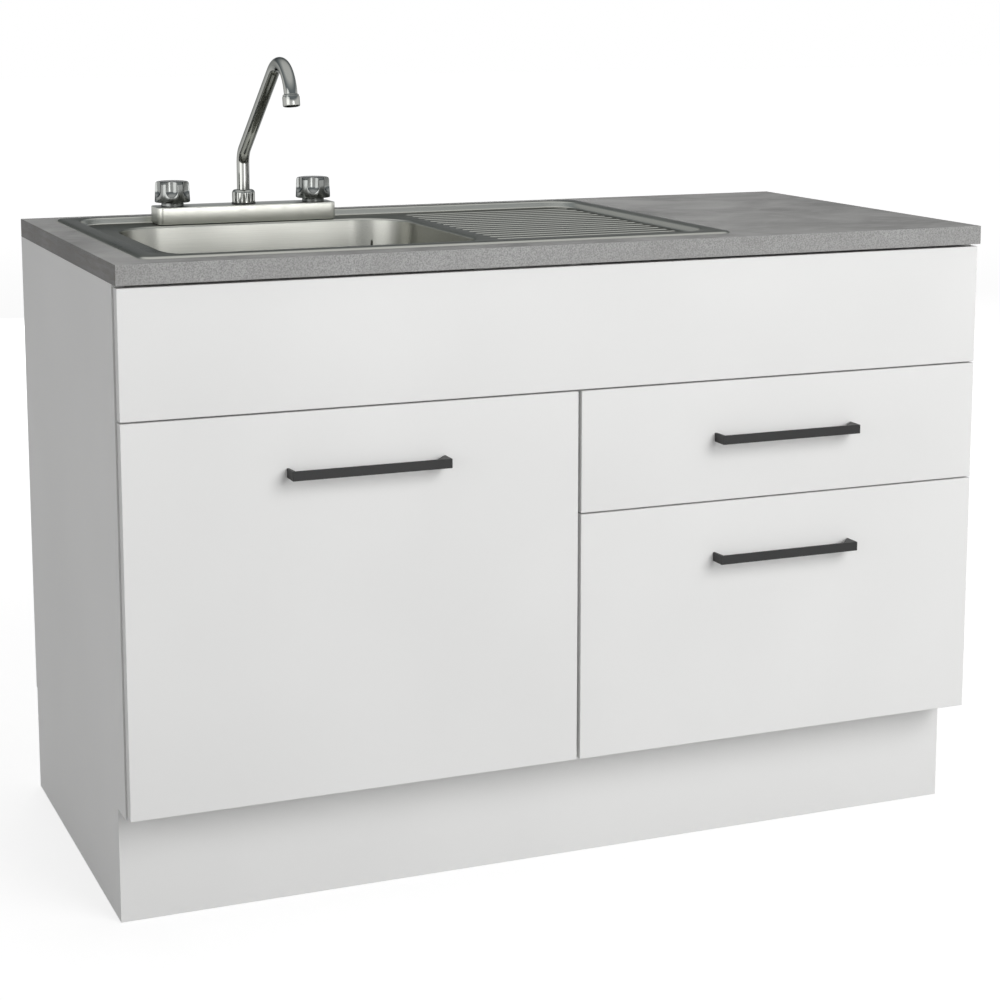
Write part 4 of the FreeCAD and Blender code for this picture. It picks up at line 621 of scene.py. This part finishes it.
@dataclass
class Sink:
    """Pressed stainless sink: bead, flat rim, sunk deck, bowl, drainer grooves and overflow."""

    rim: Station = field(default_factory=lambda: Station(41.0, 839.0, 41.0, 559.0, 16.0, 837.05))
    bowl: Station = field(default_factory=lambda: Station(100.0, 521.0, 110.0, 483.0, 75.0, 831.0))
    rim_top: float = 840.0
    deck: float = 831.0
    rim_width: float = 21.5
    recess_radius: float = 42.0
    lip: float = 3.5
    bottom: float = 681.0
    bottom_corner: float = 38.0
    waste_seat: float = 14.0
    waste_dip: float = 1.0
    draft: float = 8.0
    foot: float = 28.0
    waste_radius: float = 45.0
    sheet: float = 0.9
    corner_segments: int = 18
    grooves: int = 16
    groove_pitch: float = 25.1
    groove_first: float = 126.5
    groove_left: float = 543.5
    groove_width: float = 10.0
    groove_depth: float = 2.0
    groove_steps: tuple[tuple[float, float], ...] = ((0.5, 0.05), (1.1, 0.22), (1.8, 0.6),
                                                     (2.4, 0.87), (3.2, 1.0))
    tap_holes: tuple[float, float] = (197.1, 404.1)
    tap_y: float = 510.0
    tap_hole: float = 11.3
    overflow_angle: float = 62.0
    overflow_top: float = 31.0
    overflow_size: tuple[float, float] = (3.0, 25.0)

    def build(self) -> None:
        """Makes the sheet, then cuts the overflow slot into the bowl's corner."""
        shape = bmesh.new()
        floor_edge = self.draw_rim(shape)
        lip_edge = self.draw_bowl(shape)
        holes = self.draw_grooves(shape) + self.draw_tap_holes(shape)
        bmesh.ops.triangle_fill(shape, use_beauty=True, edges=floor_edge + lip_edge + holes,
                                normal=(0, 0, 1))
        bmesh.ops.remove_doubles(shape, verts=shape.verts, dist=MERGE_DRAWN)
        bmesh.ops.recalc_face_normals(shape, faces=shape.faces)
        deck_face = min(shape.faces, key=lambda f: (f.calc_center_median()
                                                    - at(530.0, 300.0, self.deck)).length)
        if deck_face.normal.z < 0.0:
            bmesh.ops.reverse_faces(shape, faces=shape.faces)
        shape = carve(shape, self.overflow_tool(), self.sheet)
        Piece("sink_sheet", "stainless", BODY_OF["sink"], ("sink",), 40.0).place(shape)

    def overflow_tool(self) -> Shape:
        """Makes the cutter of the overflow slot, set through the bowl's rear right corner."""
        depth, nearly_half = 12.0, 0.46
        width, height = self.overflow_size
        shape = cuboid((depth * MM, width * MM, height * MM))
        along = [e for e in shape.edges if abs((e.verts[0].co - e.verts[1].co).x) > 5.0 * MM]
        rounded(shape, along, width * nearly_half, 6)
        turn = math.radians(self.overflow_angle)
        middle = self.overflow_top + height / 2.0
        reach = self.bowl.radius - self.draft * middle / (self.deck - self.bottom)
        spot = at(self.bowl.right - self.bowl.radius + reach * math.cos(turn),
                  self.bowl.back - self.bowl.radius + reach * math.sin(turn), self.deck - middle)
        return moved(shape, Matrix.Translation(spot) @ Matrix.Rotation(turn, 4, "Z"))

    def draw_rim(self, shape: Shape) -> Edges:
        """Draws bead, flat rim and recess wall, and returns the outline of the deck.

        Each step of the bead is an inset from the sheet's outer edge and a height; each step
        of the wall is an inset from the rim's inner edge and a height.
        """
        top, deck = self.rim_top, self.deck
        bead = ((0.0, self.rim.height), (0.7, top - 1.7), (2.0, top - 0.75), (4.0, top - 0.2),
                (6.5, top))
        wall = ((-1.6, top), (-0.7, top - 0.15), (0.0, top - 0.75), (0.5, top - 2.0),
                (2.2, deck + 2.0), (2.8, deck + 0.7), (3.8, deck + 0.12), (5.2, deck))
        inner = self.rim.inset(self.rim_width, top, self.recess_radius)
        outer, *steps = [self.rim.inset(by, z) for by, z in bead]
        steps += [inner.inset(by, z) for by, z in wall]
        return self.string(shape, outer.draw(shape, self.corner_segments), steps)

    def draw_bowl(self, shape: Shape) -> Edges:
        """Draws the rolled lip, the drafted wall, the foot and the bottom; returns the lip."""
        loops = []
        for k in range(7):
            turn = math.radians(15.0 * k)
            out = self.lip * (1.0 - math.sin(turn))
            loops.append(self.bowl.inset(-out, self.deck - self.lip * (1.0 - math.cos(turn))))
        foot_top = self.bottom + self.foot
        for k in range(10):
            turn = math.radians(10.0 * k)
            by = self.draft + self.foot * (1.0 - math.cos(turn))
            height = foot_top - self.foot * math.sin(turn)
            loops.append(self.bowl.inset(by, height, max(self.bowl.radius - by, self.bottom_corner)))
        lip = loops[0].draw(shape, self.corner_segments)
        last = self.string(shape, lip, loops[1:])
        centre = at((self.bowl.left + self.bowl.right) / 2.0,
                    (self.bowl.front + self.bowl.back) / 2.0, self.bottom)
        count = 4 * (self.corner_segments + 1)
        for wider, dip in ((self.waste_seat, 0.0), (0.0, self.waste_dip)):
            drawn = circle(shape, centre - UP * dip * MM, self.waste_radius + wider, count)
            last = self.bridge(shape, last, drawn)
        return lip

    def bridge(self, shape: Shape, last: Edges, drawn: Edges) -> Edges:
        """Joins two outlines by a band.

        The new outline is held well below the last one meanwhile, so that the band can't twist
        between two outlines at one height.

        Args:
            shape: The bmesh.
            last: Edges of the outline drawn before.
            drawn: Edges of the new outline.

        Returns:
            The new outline's edges.
        """
        verts = list({vert for edge in drawn for vert in edge.verts})
        drop = UP * 40.0 * MM
        bmesh.ops.translate(shape, verts=verts, vec=-drop)
        bmesh.ops.bridge_loops(shape, edges=last + drawn)
        bmesh.ops.translate(shape, verts=verts, vec=drop)
        return drawn

    def string(self, shape: Shape, last: Edges, stations: list[Station]) -> Edges:
        """Bridges on from an outline through a row of others; returns the last one's edges."""
        for station in stations:
            last = self.bridge(shape, last, station.draw(shape, self.corner_segments))
        return last

    def groove_right(self, y: float) -> float:
        """Right end of the groove at y, 5 mm off the recess wall and its round corner."""
        wall_run, gap = 3.0, 5.0
        run = self.rim_width + wall_run
        corner = self.recess_radius - wall_run
        wall = self.rim.right - run
        reach = self.groove_width / 2.0 + gap
        past = max(y + reach - (self.rim.back - run - corner),
                   self.rim.front + run + corner - (y - reach), 0.0)
        past = min(past, corner - 1.0)
        return wall - corner + math.sqrt(corner * corner - past * past) - gap

    def draw_grooves(self, shape: Shape) -> Edges:
        """Draws the pressed drainer grooves and returns their outlines on the deck."""
        outlines = []
        half = self.groove_width / 2.0
        for k in range(self.grooves):
            y = self.groove_first + k * self.groove_pitch
            top = Station(self.groove_left, self.groove_right(y), y - half, y + half,
                          half * 0.9, self.deck)
            last = top.draw(shape, 6)
            outlines += last
            for by, share in self.groove_steps:
                step = top.inset(by, self.deck - share * self.groove_depth)
                last = self.bridge(shape, last, step.draw(shape, 6))
            bmesh.ops.triangle_fill(shape, use_beauty=True, edges=last, normal=(0, 0, 1))
        return outlines

    def draw_tap_holes(self, shape: Shape) -> Edges:
        """Draws the two tap holes and returns their outlines."""
        outlines = []
        for x in self.tap_holes:
            outlines += circle(shape, at(x, self.tap_y, self.deck), self.tap_hole, 32)
        return outlines


# ------------------------------------------------------------------ tap
@dataclass
class MixerTap:
    """Bridge-block mixer: block, fluted knobs, swan-neck spout and aerator."""

    x: float = 300.6
    y: float = 510.0
    block_top: float = 856.0
    knob_offset: float = 103.5
    spout_radius: float = 9.0
    bore_radius: float = 7.6
    corner_height: float = 71.0
    corner_bend: float = 28.0
    incline: float = 37.34
    hook_radius: float = 48.7
    hook_reach: float = 189.3
    hook_end: float = 11.5
    flutes: int = 6
    flute_turn: float = 14.5
    flute_radius: float = 12.0
    flute_foot: float = 5.5
    flute_reach: float = 30.9

    def build(self) -> None:
        """Makes every piece of the tap."""
        self.build_block()
        self.build_knob("knob_hot", self.x - self.knob_offset)
        self.build_knob("knob_cold", self.x + self.knob_offset)
        self.build_collars()
        self.build_spout()
        twin("spout_nut", 0.25, 40.0)
        twin("spout_ring", 0.2)
        twin("tap_gasket")
        twin("tap_headworks")
        twin("tap_inlets")
        twin("tap_backnuts", 0.3)

    def build_block(self) -> None:
        """Makes the cast block with round upright corners and soft rims."""
        low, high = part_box("tap_block")
        corner, top_rim, foot_rim = 8.0, 1.6, 2.2
        size = high - low
        shape = cuboid(tuple(size), Matrix.Translation((low + high) / 2.0))
        upright = [e for e in shape.edges if abs((e.verts[0].co - e.verts[1].co).z) > 0.5 * size.z]
        rounded(shape, upright, corner, 10)
        for height, width, steps in ((high.z, top_rim, 4), (low.z, foot_rim, 3)):
            rim = [e for e in shape.edges
                   if all(abs(v.co.z - height) < 1e-6 for v in e.verts)]
            rounded(shape, rim, width, steps)
        Piece("tap_block_cast", "chrome", BODY_OF["tap_block"], ("tap_block",), 30.0,
              finish="satin_chrome").place(shape)

    def build_knob(self, node: str, x: float) -> None:
        """Makes one knob: a tapered turned body, six flutes and a screw recess.

        Args:
            node: The CAD knob that it stands for.
            x: Its axis, in mm.
        """
        profile = [(0.0, 26.4), (3.0, 26.4), (3.0, 28.9), (3.4, 29.2), (19.4, 29.2), (21.2, 28.9),
                   (22.6, 28.1), (23.3, 26.8), (23.6, 25.2), (24.8, 1.2), (24.5, 0.4),
                   (23.8, 0.0), (13.4, 0.0), (13.0, 0.4), (13.0, 13.0), (4.2, 13.0), (4.2, 22.0),
                   (0.0, 22.0)]
        body = lathe(profile, 120)
        cutters = []
        ball = self.flute_radius
        arc = [(ball * math.sin(math.radians(9.0 * k)),
                self.flute_foot + ball - ball * math.cos(math.radians(9.0 * k)))
               for k in range(11)]
        for k in range(self.flutes):
            turn = Matrix.Rotation(math.radians(self.flute_turn + 360.0 * k / self.flutes), 4, "Z")
            tool = lathe(arc + [(ball, 40.0), (0.0, 40.0)], 48)
            cutters.append(moved(tool, turn @ Matrix.Translation(RIGHT * self.flute_reach * MM)))
        shape = carve(body, joined(*cutters))
        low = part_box(node)[0]
        moved(shape, Matrix.Translation((at(x, self.y, 0.0).x, at(x, self.y, 0.0).y, low.z)))
        Piece(node + "_cast", "chrome", BODY_OF[node], (node,), 28.0, 0.35,
              "cast_chrome").place(shape)

    def build_collars(self) -> None:
        """Makes the two collars under the knobs, each with a shadow line."""
        rings = []
        for side in (-1.0, 1.0):
            ring = lathe([(10.4, 0.0), (15.2, 0.0), (15.65, 0.5), (15.65, 3.6), (15.0, 4.0),
                          (15.0, 4.5), (15.4, 4.9), (15.2, 5.4), (14.8, 5.5), (10.4, 5.5)], 72)
            place = at(self.x + side * self.knob_offset, self.y, self.block_top)
            rings.append(moved(ring, Matrix.Translation(place)))
        Piece("knob_collars_turned", "chrome", BODY_OF["knob_collars"], ("knob_collars",),
              30.0, finish="cast_chrome").place(joined(*rings))

    def tube(self, radius: float, rings: int) -> tuple[Shape, Vector, Vector]:
        """Runs a circle along the spout's line by extruding and spinning it.

        Args:
            radius: Radius of the tube in mm.
            rings: Vertices round the tube.

        Returns:
            The open tube, the end point of its centre line and the direction there.
        """
        slope = math.radians(self.incline)
        foot = at(self.x, self.y, self.block_top - 15.0)
        corner = at(self.x, self.y, self.block_top + self.corner_height)
        turn = math.pi / 2.0 - slope
        back = self.corner_bend * MM * math.tan(turn / 2.0)
        shape = bmesh.new()
        edges = circle(shape, foot, radius, rings)
        edges = self.run(shape, edges, corner - UP * back - foot, 4)
        centre = corner + Vector((0.0, -self.corner_bend * MM, -back))
        edges = self.bend(shape, edges, centre, turn, 10)
        along = Vector((0.0, -math.cos(slope), math.sin(slope)))
        start = corner + along * back
        hook_y = self.y - self.hook_reach
        tangent_y = hook_y + self.hook_radius * math.sin(slope)
        length = (self.y - tangent_y) * MM / math.cos(slope) - back
        edges = self.run(shape, edges, along * length, 6)
        tangent = start + along * length
        normal = Vector((0.0, math.sin(slope), math.cos(slope)))
        hook = tangent - normal * self.hook_radius * MM
        end_angle = math.radians(180.0 - self.hook_end)
        self.bend(shape, edges, hook, end_angle - math.atan2(normal.z, normal.y), 28)
        end = hook + Vector((0.0, math.cos(end_angle), math.sin(end_angle))) * self.hook_radius * MM
        heading = Vector((0.0, -math.sin(end_angle), math.cos(end_angle)))
        return shape, end, heading

    def run(self, shape: Shape, edges: Edges, vector: Vector, steps: int) -> Edges:
        """Extrudes the open ring straight on in equal steps and returns the new ring."""
        for _ in range(steps):
            made = bmesh.ops.extrude_edge_only(shape, edges=edges)["geom"]
            verts = [g for g in made if isinstance(g, bmesh.types.BMVert)]
            bmesh.ops.translate(shape, verts=verts, vec=vector / steps)
            edges = [g for g in made if isinstance(g, bmesh.types.BMEdge)
                     and all(v in verts for v in g.verts)]
        return edges

    def bend(self, shape: Shape, edges: Edges, centre: Vector, angle: float, steps: int
             ) -> Edges:
        """Spins the open ring about an axis along X and returns the new ring."""
        verts = list({vert for edge in edges for vert in edge.verts})
        made = bmesh.ops.spin(shape, geom=verts + edges, cent=centre, axis=(1, 0, 0),
                              angle=angle, steps=steps, use_merge=False)["geom_last"]
        return [g for g in made if isinstance(g, bmesh.types.BMEdge)]

    def build_spout(self) -> None:
        """Makes the hollow spout, its collar under the nut and the aerator on its end."""
        outer, end, heading = self.tube(self.spout_radius, 40)
        inner, _, _ = self.tube(self.bore_radius, 40)
        shape = joined(outer, inner)
        ends = [e for e in shape.edges if e.is_boundary]
        for near_foot in (True, False):
            rim = [e for e in ends
                   if (e.verts[0].co.z < (self.block_top + 1.0) * MM) == near_foot]
            bmesh.ops.bridge_loops(shape, edges=rim)
        bmesh.ops.recalc_face_normals(shape, faces=shape.faces)
        collar = lathe([(9.2, 3.0), (11.6, 3.0), (12.0, 3.4), (12.0, 5.6), (11.6, 6.0),
                        (9.2, 6.0)], 48)
        moved(collar, Matrix.Translation(at(self.x, self.y, self.block_top)))
        Piece("spout_tube", "chrome", BODY_OF["spout"], ("spout",), 50.0).place(
            joined(shape, collar))
        profile = [(6.0, 0.2), (10.0, 0.2), (10.6, 0.6), (10.8, 1.2), (10.8, 2.6), (11.4, 3.2),
                   (11.5, 3.8), (11.5, 14.6), (11.1, 15.6), (10.4, 16.0), (9.4, 16.0), (9.0, 15.6),
                   (9.0, 9.4), (8.2, 9.0), (6.0, 9.0)]
        ring = lathe(profile, 64)
        sieve = self.build_sieve()
        spot = Matrix.Translation(end) @ facing(heading)
        Piece("aerator_ring", "chrome", BODY_OF["aerator"], ("aerator",), 30.0).place(
            moved(ring, spot))
        Piece("aerator_sieve", "rubber", BODY_OF["aerator"]).place(moved(sieve, spot))

    def build_sieve(self) -> Shape:
        """Makes the dark sieve inside the aerator: a disc with rings of little posts."""
        sieve = lathe([(0.0, 9.2), (8.9, 9.2), (8.9, 11.0), (7.8, 11.4), (0.0, 11.4)], 48)
        posts = []
        for radius, count in ((2.6, 6), (5.2, 12), (7.4, 18)):
            for k in range(count):
                post = bmesh.new()
                bmesh.ops.create_cone(post, cap_ends=True, segments=8, radius1=0.55 * MM,
                                      radius2=0.35 * MM, depth=1.2 * MM)
                angle = 2.0 * math.pi * k / count
                spot = Vector((radius * math.cos(angle), radius * math.sin(angle), 11.9)) * MM
                posts.append(moved(post, Matrix.Translation(spot)))
        return joined(sieve, *posts)


# ------------------------------------------------------------------ cabinet, door, drawers
@dataclass
class Screws:
    """Cross-head screws of one size, set on the faces that they hold."""

    radius: float = 4.0
    height: float = 2.2

    def head(self) -> Shape:
        """Makes one domed head with its cross recess, standing on Z = 0."""
        rise = ((1.0, 0.0), (1.0, 0.25), (0.86, 0.65), (0.6, 0.92))
        profile = [(self.radius * out, self.height * up) for out, up in rise]
        body = lathe([(0.0, 0.0), *profile, (0.0, self.height)], 24)
        for turn in (45.0, 135.0):
            place = (Matrix.Translation(UP * self.height * MM)
                     @ Matrix.Rotation(math.radians(turn), 4, "Z"))
            arm = (self.radius * 1.1 * MM, self.radius * 0.22 * MM, self.height * MM)
            body = carve(body, cuboid(arm, place))
        return body

    def place(self, name: str, body: str, spots: list[tuple[Vector, Vector]]) -> None:
        """Sets copies of the head, in zinc-plated steel.

        Args:
            name: Name of the piece.
            body: Body that it rides on.
            spots: Foot point and outward direction of each head.
        """
        first = self.head()
        heads = [moved(first.copy(), Matrix.Translation(foot) @ facing(out))
                 for foot, out in spots]
        first.free()
        Piece(name, "zinc_steel", body, (), 30.0).place(joined(*heads))


@dataclass
class Fixings:
    """Screws that hold hinges, brackets, rails and drawer boxes."""

    board: float = 16.0
    front_back: float = 20.0
    bay_edges: tuple[float, float, float, float] = (16.0, 592.0, 608.0, 1184.0)
    bracket_heights: tuple[float, float] = (710.5, 746.5)
    hinge_heights: tuple[float, float] = (245.0, 555.0)
    boxes: tuple[tuple[str, float, float], ...] = (("upper", 506.0, 110.0),
                                                   ("lower", 184.0, 200.0))
    box_sides: tuple[float, float] = (620.5, 1171.5)
    rail_steel: float = 1.2
    rail_stations: tuple[float, float, float] = (76.0, 270.0, 470.0)

    def build(self) -> None:
        """Sets every group of screws."""
        self.build_brackets()
        self.build_hinges()
        self.build_rails()
        self.build_boxes()

    def build_brackets(self) -> None:
        """Sets two screws into the blind panel and two into the board at each bracket."""
        steel, from_board, from_panel = 2.0, 14.0, 24.0
        spots = []
        for index, edge in enumerate(self.bay_edges):
            side = 1.0 if index % 2 == 0 else -1.0
            for z in self.bracket_heights:
                spots.append((at(edge + side * from_board, self.front_back + steel, z), TO_WALL))
                spots.append((at(edge + side * steel, self.front_back + from_panel, z),
                              RIGHT * side))
        Screws(3.6, 2.0).place("bracket_screws", "cabinet", spots)

    def build_hinges(self) -> None:
        """Sets the screws of the hinge plates and of the cups."""
        plate_steel, plate_y, plate_pitch = 2.5, 59.0, 22.0
        cup_x, cup_rim, cup_pitch = 24.5, 1.0, 24.0
        plates, cups = [], []
        for z in self.hinge_heights:
            for side in (-1.0, 1.0):
                plates.append((at(self.board + plate_steel, plate_y, z + side * plate_pitch),
                               RIGHT))
                cups.append((at(cup_x, self.front_back + cup_rim, z + side * cup_pitch), TO_WALL))
        Screws(4.0, 2.2).place("hinge_plate_screws", "cabinet", plates)
        Screws(3.6, 1.8).place("hinge_cup_screws", "door", cups)

    def build_rails(self) -> None:
        """Sets flat screws in the webs of the cabinet rails, clear of the rollers."""
        above_box, spots = 3.3, []
        for _, low, _ in self.boxes:
            for edge, side in ((self.bay_edges[2], 1.0), (self.bay_edges[3], -1.0)):
                for y in self.rail_stations:
                    spots.append((at(edge + side * self.rail_steel, y, low + above_box),
                                  RIGHT * side))
        Screws(3.4, 0.7).place("rail_screws", "cabinet", spots)

    def build_boxes(self) -> None:
        """Sets the screws that hold the drawer backs between their sides."""
        back_y, from_foot, from_rim = 512.0, 34.0, 24.0
        for level, low, height in self.boxes:
            spots = []
            for edge, side in zip(self.box_sides, (-1.0, 1.0)):
                for z in (low + from_foot, low + height - from_rim):
                    spots.append((at(edge, back_y, z), RIGHT * side))
            Screws(3.8, 0.9).place(level + "_box_screws", level + "_drawer", spots)


@dataclass
class Cabinet:
    """Boards, plinth, worktop, plumbing and hinge arms: all that stands still."""

    boards: tuple[str, ...] = ("side_left", "side_right", "bottom_panel", "partition",
                               "front_rails", "rear_rails", "plinth_front", "plinth_rear",
                               "plinth_sides", "back_panel")
    plumbing: tuple[str, ...] = ("waste_body", "waste_nut", "overflow_elbow", "overflow_pipe",
                                 "trap_head", "trap_cup", "trap_inlet_nut", "trap_outlet_nut",
                                 "waste_pipe")
    fittings: tuple[str, ...] = ("blind_brackets", "hinge_arms", "cabinet_rails", "sink_clips",
                                 "front_buffers", "sink_seal")

    def build(self) -> None:
        """Dresses every standing node."""
        twin("worktop", 0.3)
        twin("blind_panel", 0.4)
        for node in self.boards:
            twin(node, 0.35)
        for node in self.plumbing:
            twin(node, 0.0, 38.0)
        for node in self.fittings:
            twin(node, 0.15)
        twin("strainer_basket", 0.0, 38.0)
        twin("upper_front_rollers", 0.0, 30.0)
        twin("lower_front_rollers", 0.0, 30.0)


@dataclass
class Fronts:
    """Door and drawers with their handles, boxes and rails."""

    door: tuple[str, ...] = ("door", "hinge_cups")
    drawer_parts: tuple[str, ...] = ("front", "box_sides", "box_back", "box_bottom",
                                     "drawer_rails", "tail_rollers")

    def build(self) -> None:
        """Dresses the moving fronts."""
        for node in self.door:
            twin(node, 0.3)
        for level in ("upper", "lower"):
            for part in self.drawer_parts:
                twin(level + "_" + part, 0.3 if "roller" not in part else 0.0)
        for handle in ("door_handle", "upper_handle", "lower_handle"):
            twin(handle, 0.6)


# ------------------------------------------------------------------ studio
@dataclass(frozen=True)
class Lamp:
    """One square soft box: where it stands, its side in metres and its power in watts."""

    name: str
    place: tuple[float, float, float]
    side: float
    power: float
    mirrored: bool = False

    def build(self, target: Vector) -> None:
        """Sets the lamp facing a target; mirrored ones show in shiny surfaces."""
        data = bpy.data.lights.new(self.name, "AREA")
        data.size = self.side
        data.energy = self.power
        lamp = linked(self.name, data)
        lamp.location = self.place
        lamp.rotation_euler = (target - lamp.location).to_track_quat("-Z", "Y").to_euler()
        lamp.visible_glossy = self.mirrored


@dataclass
class Studio:
    """Pale floor, even soft light and the camera at the photograph's angle."""

    camera_place: Vector = field(default_factory=lambda: Vector((-1.1582, -2.8294, 1.1420)))
    camera_yaw: float = 22.36
    camera_pitch: float = 8.99
    lens: float = 79.51
    sensor: float = 36.0
    shift: float = -0.15
    ambient: float = 0.24
    target: Vector = field(default_factory=lambda: Vector((0.0, 0.0, 0.5)))
    lamps: tuple[Lamp, ...] = (Lamp("key", (1.9, -4.2, 2.9), 3.2, 182.0),
                               Lamp("front", (0.8, -4.9, 1.0), 1.8, 28.0, mirrored=True),
                               Lamp("fill", (-4.4, -2.4, 1.2), 3.4, 50.0, mirrored=True),
                               Lamp("top", (0.0, 0.2, 4.2), 2.6, 46.0),
                               Lamp("back", (0.8, 4.8, 1.5), 2.8, 150.0))
    sky: tuple[tuple[float, str], ...] = ((0.0, "#FFFFFF"), (0.16, "#FFFFFF"), (0.3, "#858C91"),
                                          (0.46, "#8F969A"), (0.62, "#BCC0C2"), (0.82, "#F0F1F1"))
    floor_half: float = 30.0
    floor_drop: float = 0.0005
    floor_colour: tuple[float, float, float, float] = (0.3, 0.3, 0.3, 1.0)
    glow_near: float = 0.76
    glow_far: float = 0.95
    glow_start: float = 1.5
    glow_end: float = 9.0

    def build(self) -> None:
        """Makes camera, world, floor and lamps."""
        self.build_camera()
        self.build_world()
        self.build_floor()
        for lamp in self.lamps:
            lamp.build(self.target)
        bpy.context.scene.view_settings.view_transform = "Standard"

    def build_camera(self) -> None:
        """Sets the camera where the photograph was taken from."""
        data = bpy.data.cameras.new("photo_camera")
        data.lens = self.lens
        data.sensor_width = self.sensor
        data.shift_y = self.shift
        camera = linked("photo_camera", data)
        camera.location = self.camera_place
        camera.rotation_euler = (math.radians(90.0 - self.camera_pitch), 0.0,
                                 math.radians(-self.camera_yaw))
        bpy.context.scene.camera = camera

    def seen(self, recipe: Recipe) -> Socket:
        """Adds the test for rays that show a background: camera, glossy and transmission."""
        path = recipe.add("ShaderNodeLightPath")
        last = path.outputs["Is Camera Ray"]
        for name in ("Is Glossy Ray", "Is Transmission Ray"):
            pick = recipe.add("ShaderNodeMath", {0: last, 1: path.outputs[name]},
                              operation="MAXIMUM")
            last = pick.outputs[0]
        return last

    def build_world(self) -> None:
        """Makes a white backdrop with a grey ceiling, and an even pale ambient light."""
        world = bpy.data.worlds.new("studio")
        bpy.context.scene.world = world
        recipe = Recipe("studio", world)
        place = recipe.add("ShaderNodeTexCoord").outputs["Generated"]
        split = recipe.add("ShaderNodeSeparateXYZ", {"Vector": place})
        sky = recipe.tones(split.outputs["Z"], *self.sky)
        shown = recipe.add("ShaderNodeBackground", {"Color": sky})
        light = recipe.add("ShaderNodeBackground", {"Color": WHITE, "Strength": self.ambient})
        both = recipe.add("ShaderNodeMixShader", {0: self.seen(recipe), 1: light.outputs[0],
                                                  2: shown.outputs[0]})
        recipe.add("ShaderNodeOutputWorld", {"Surface": both.outputs[0]})

    def build_floor(self) -> None:
        """Makes the floor: white to the eye, with the object's soft shadow on it."""
        shape = bmesh.new()
        bmesh.ops.create_grid(shape, x_segments=1, y_segments=1, size=self.floor_half)
        floor = linked("studio_floor", mesh_of("studio_floor", shape))
        floor.location.z = -self.floor_drop
        recipe = Recipe("studio_floor")
        matt = recipe.add("ShaderNodeBsdfDiffuse", {"Color": self.floor_colour})
        place = recipe.add("ShaderNodeTexCoord").outputs["Object"]
        reach = recipe.add("ShaderNodeVectorMath", {0: place}, operation="LENGTH")
        strength = recipe.spread(reach.outputs["Value"], self.glow_near, self.glow_far,
                                 self.glow_start, self.glow_end)
        glow = recipe.add("ShaderNodeEmission", {"Color": WHITE, "Strength": strength})
        none = recipe.add("ShaderNodeEmission", {"Strength": 0.0})
        lit = recipe.add("ShaderNodeMixShader", {0: self.seen(recipe), 1: none.outputs[0],
                                                 2: glow.outputs[0]})
        both = recipe.add("ShaderNodeAddShader", {0: matt.outputs[0], 1: lit.outputs[0]})
        recipe.add("ShaderNodeOutputMaterial", {"Surface": both.outputs[0]})
        floor.data.materials.append(recipe.owner)


def main() -> None:
    """Builds the unit's sub-assemblies in order, then the studio."""
    logging.basicConfig(level=logging.INFO, format="%(message)s")
    Cabinet().build()
    Fronts().build()
    Fixings().build()
    Sink().build()
    MixerTap().build()
    Studio().build()


if __name__ == "__main__":
    main()
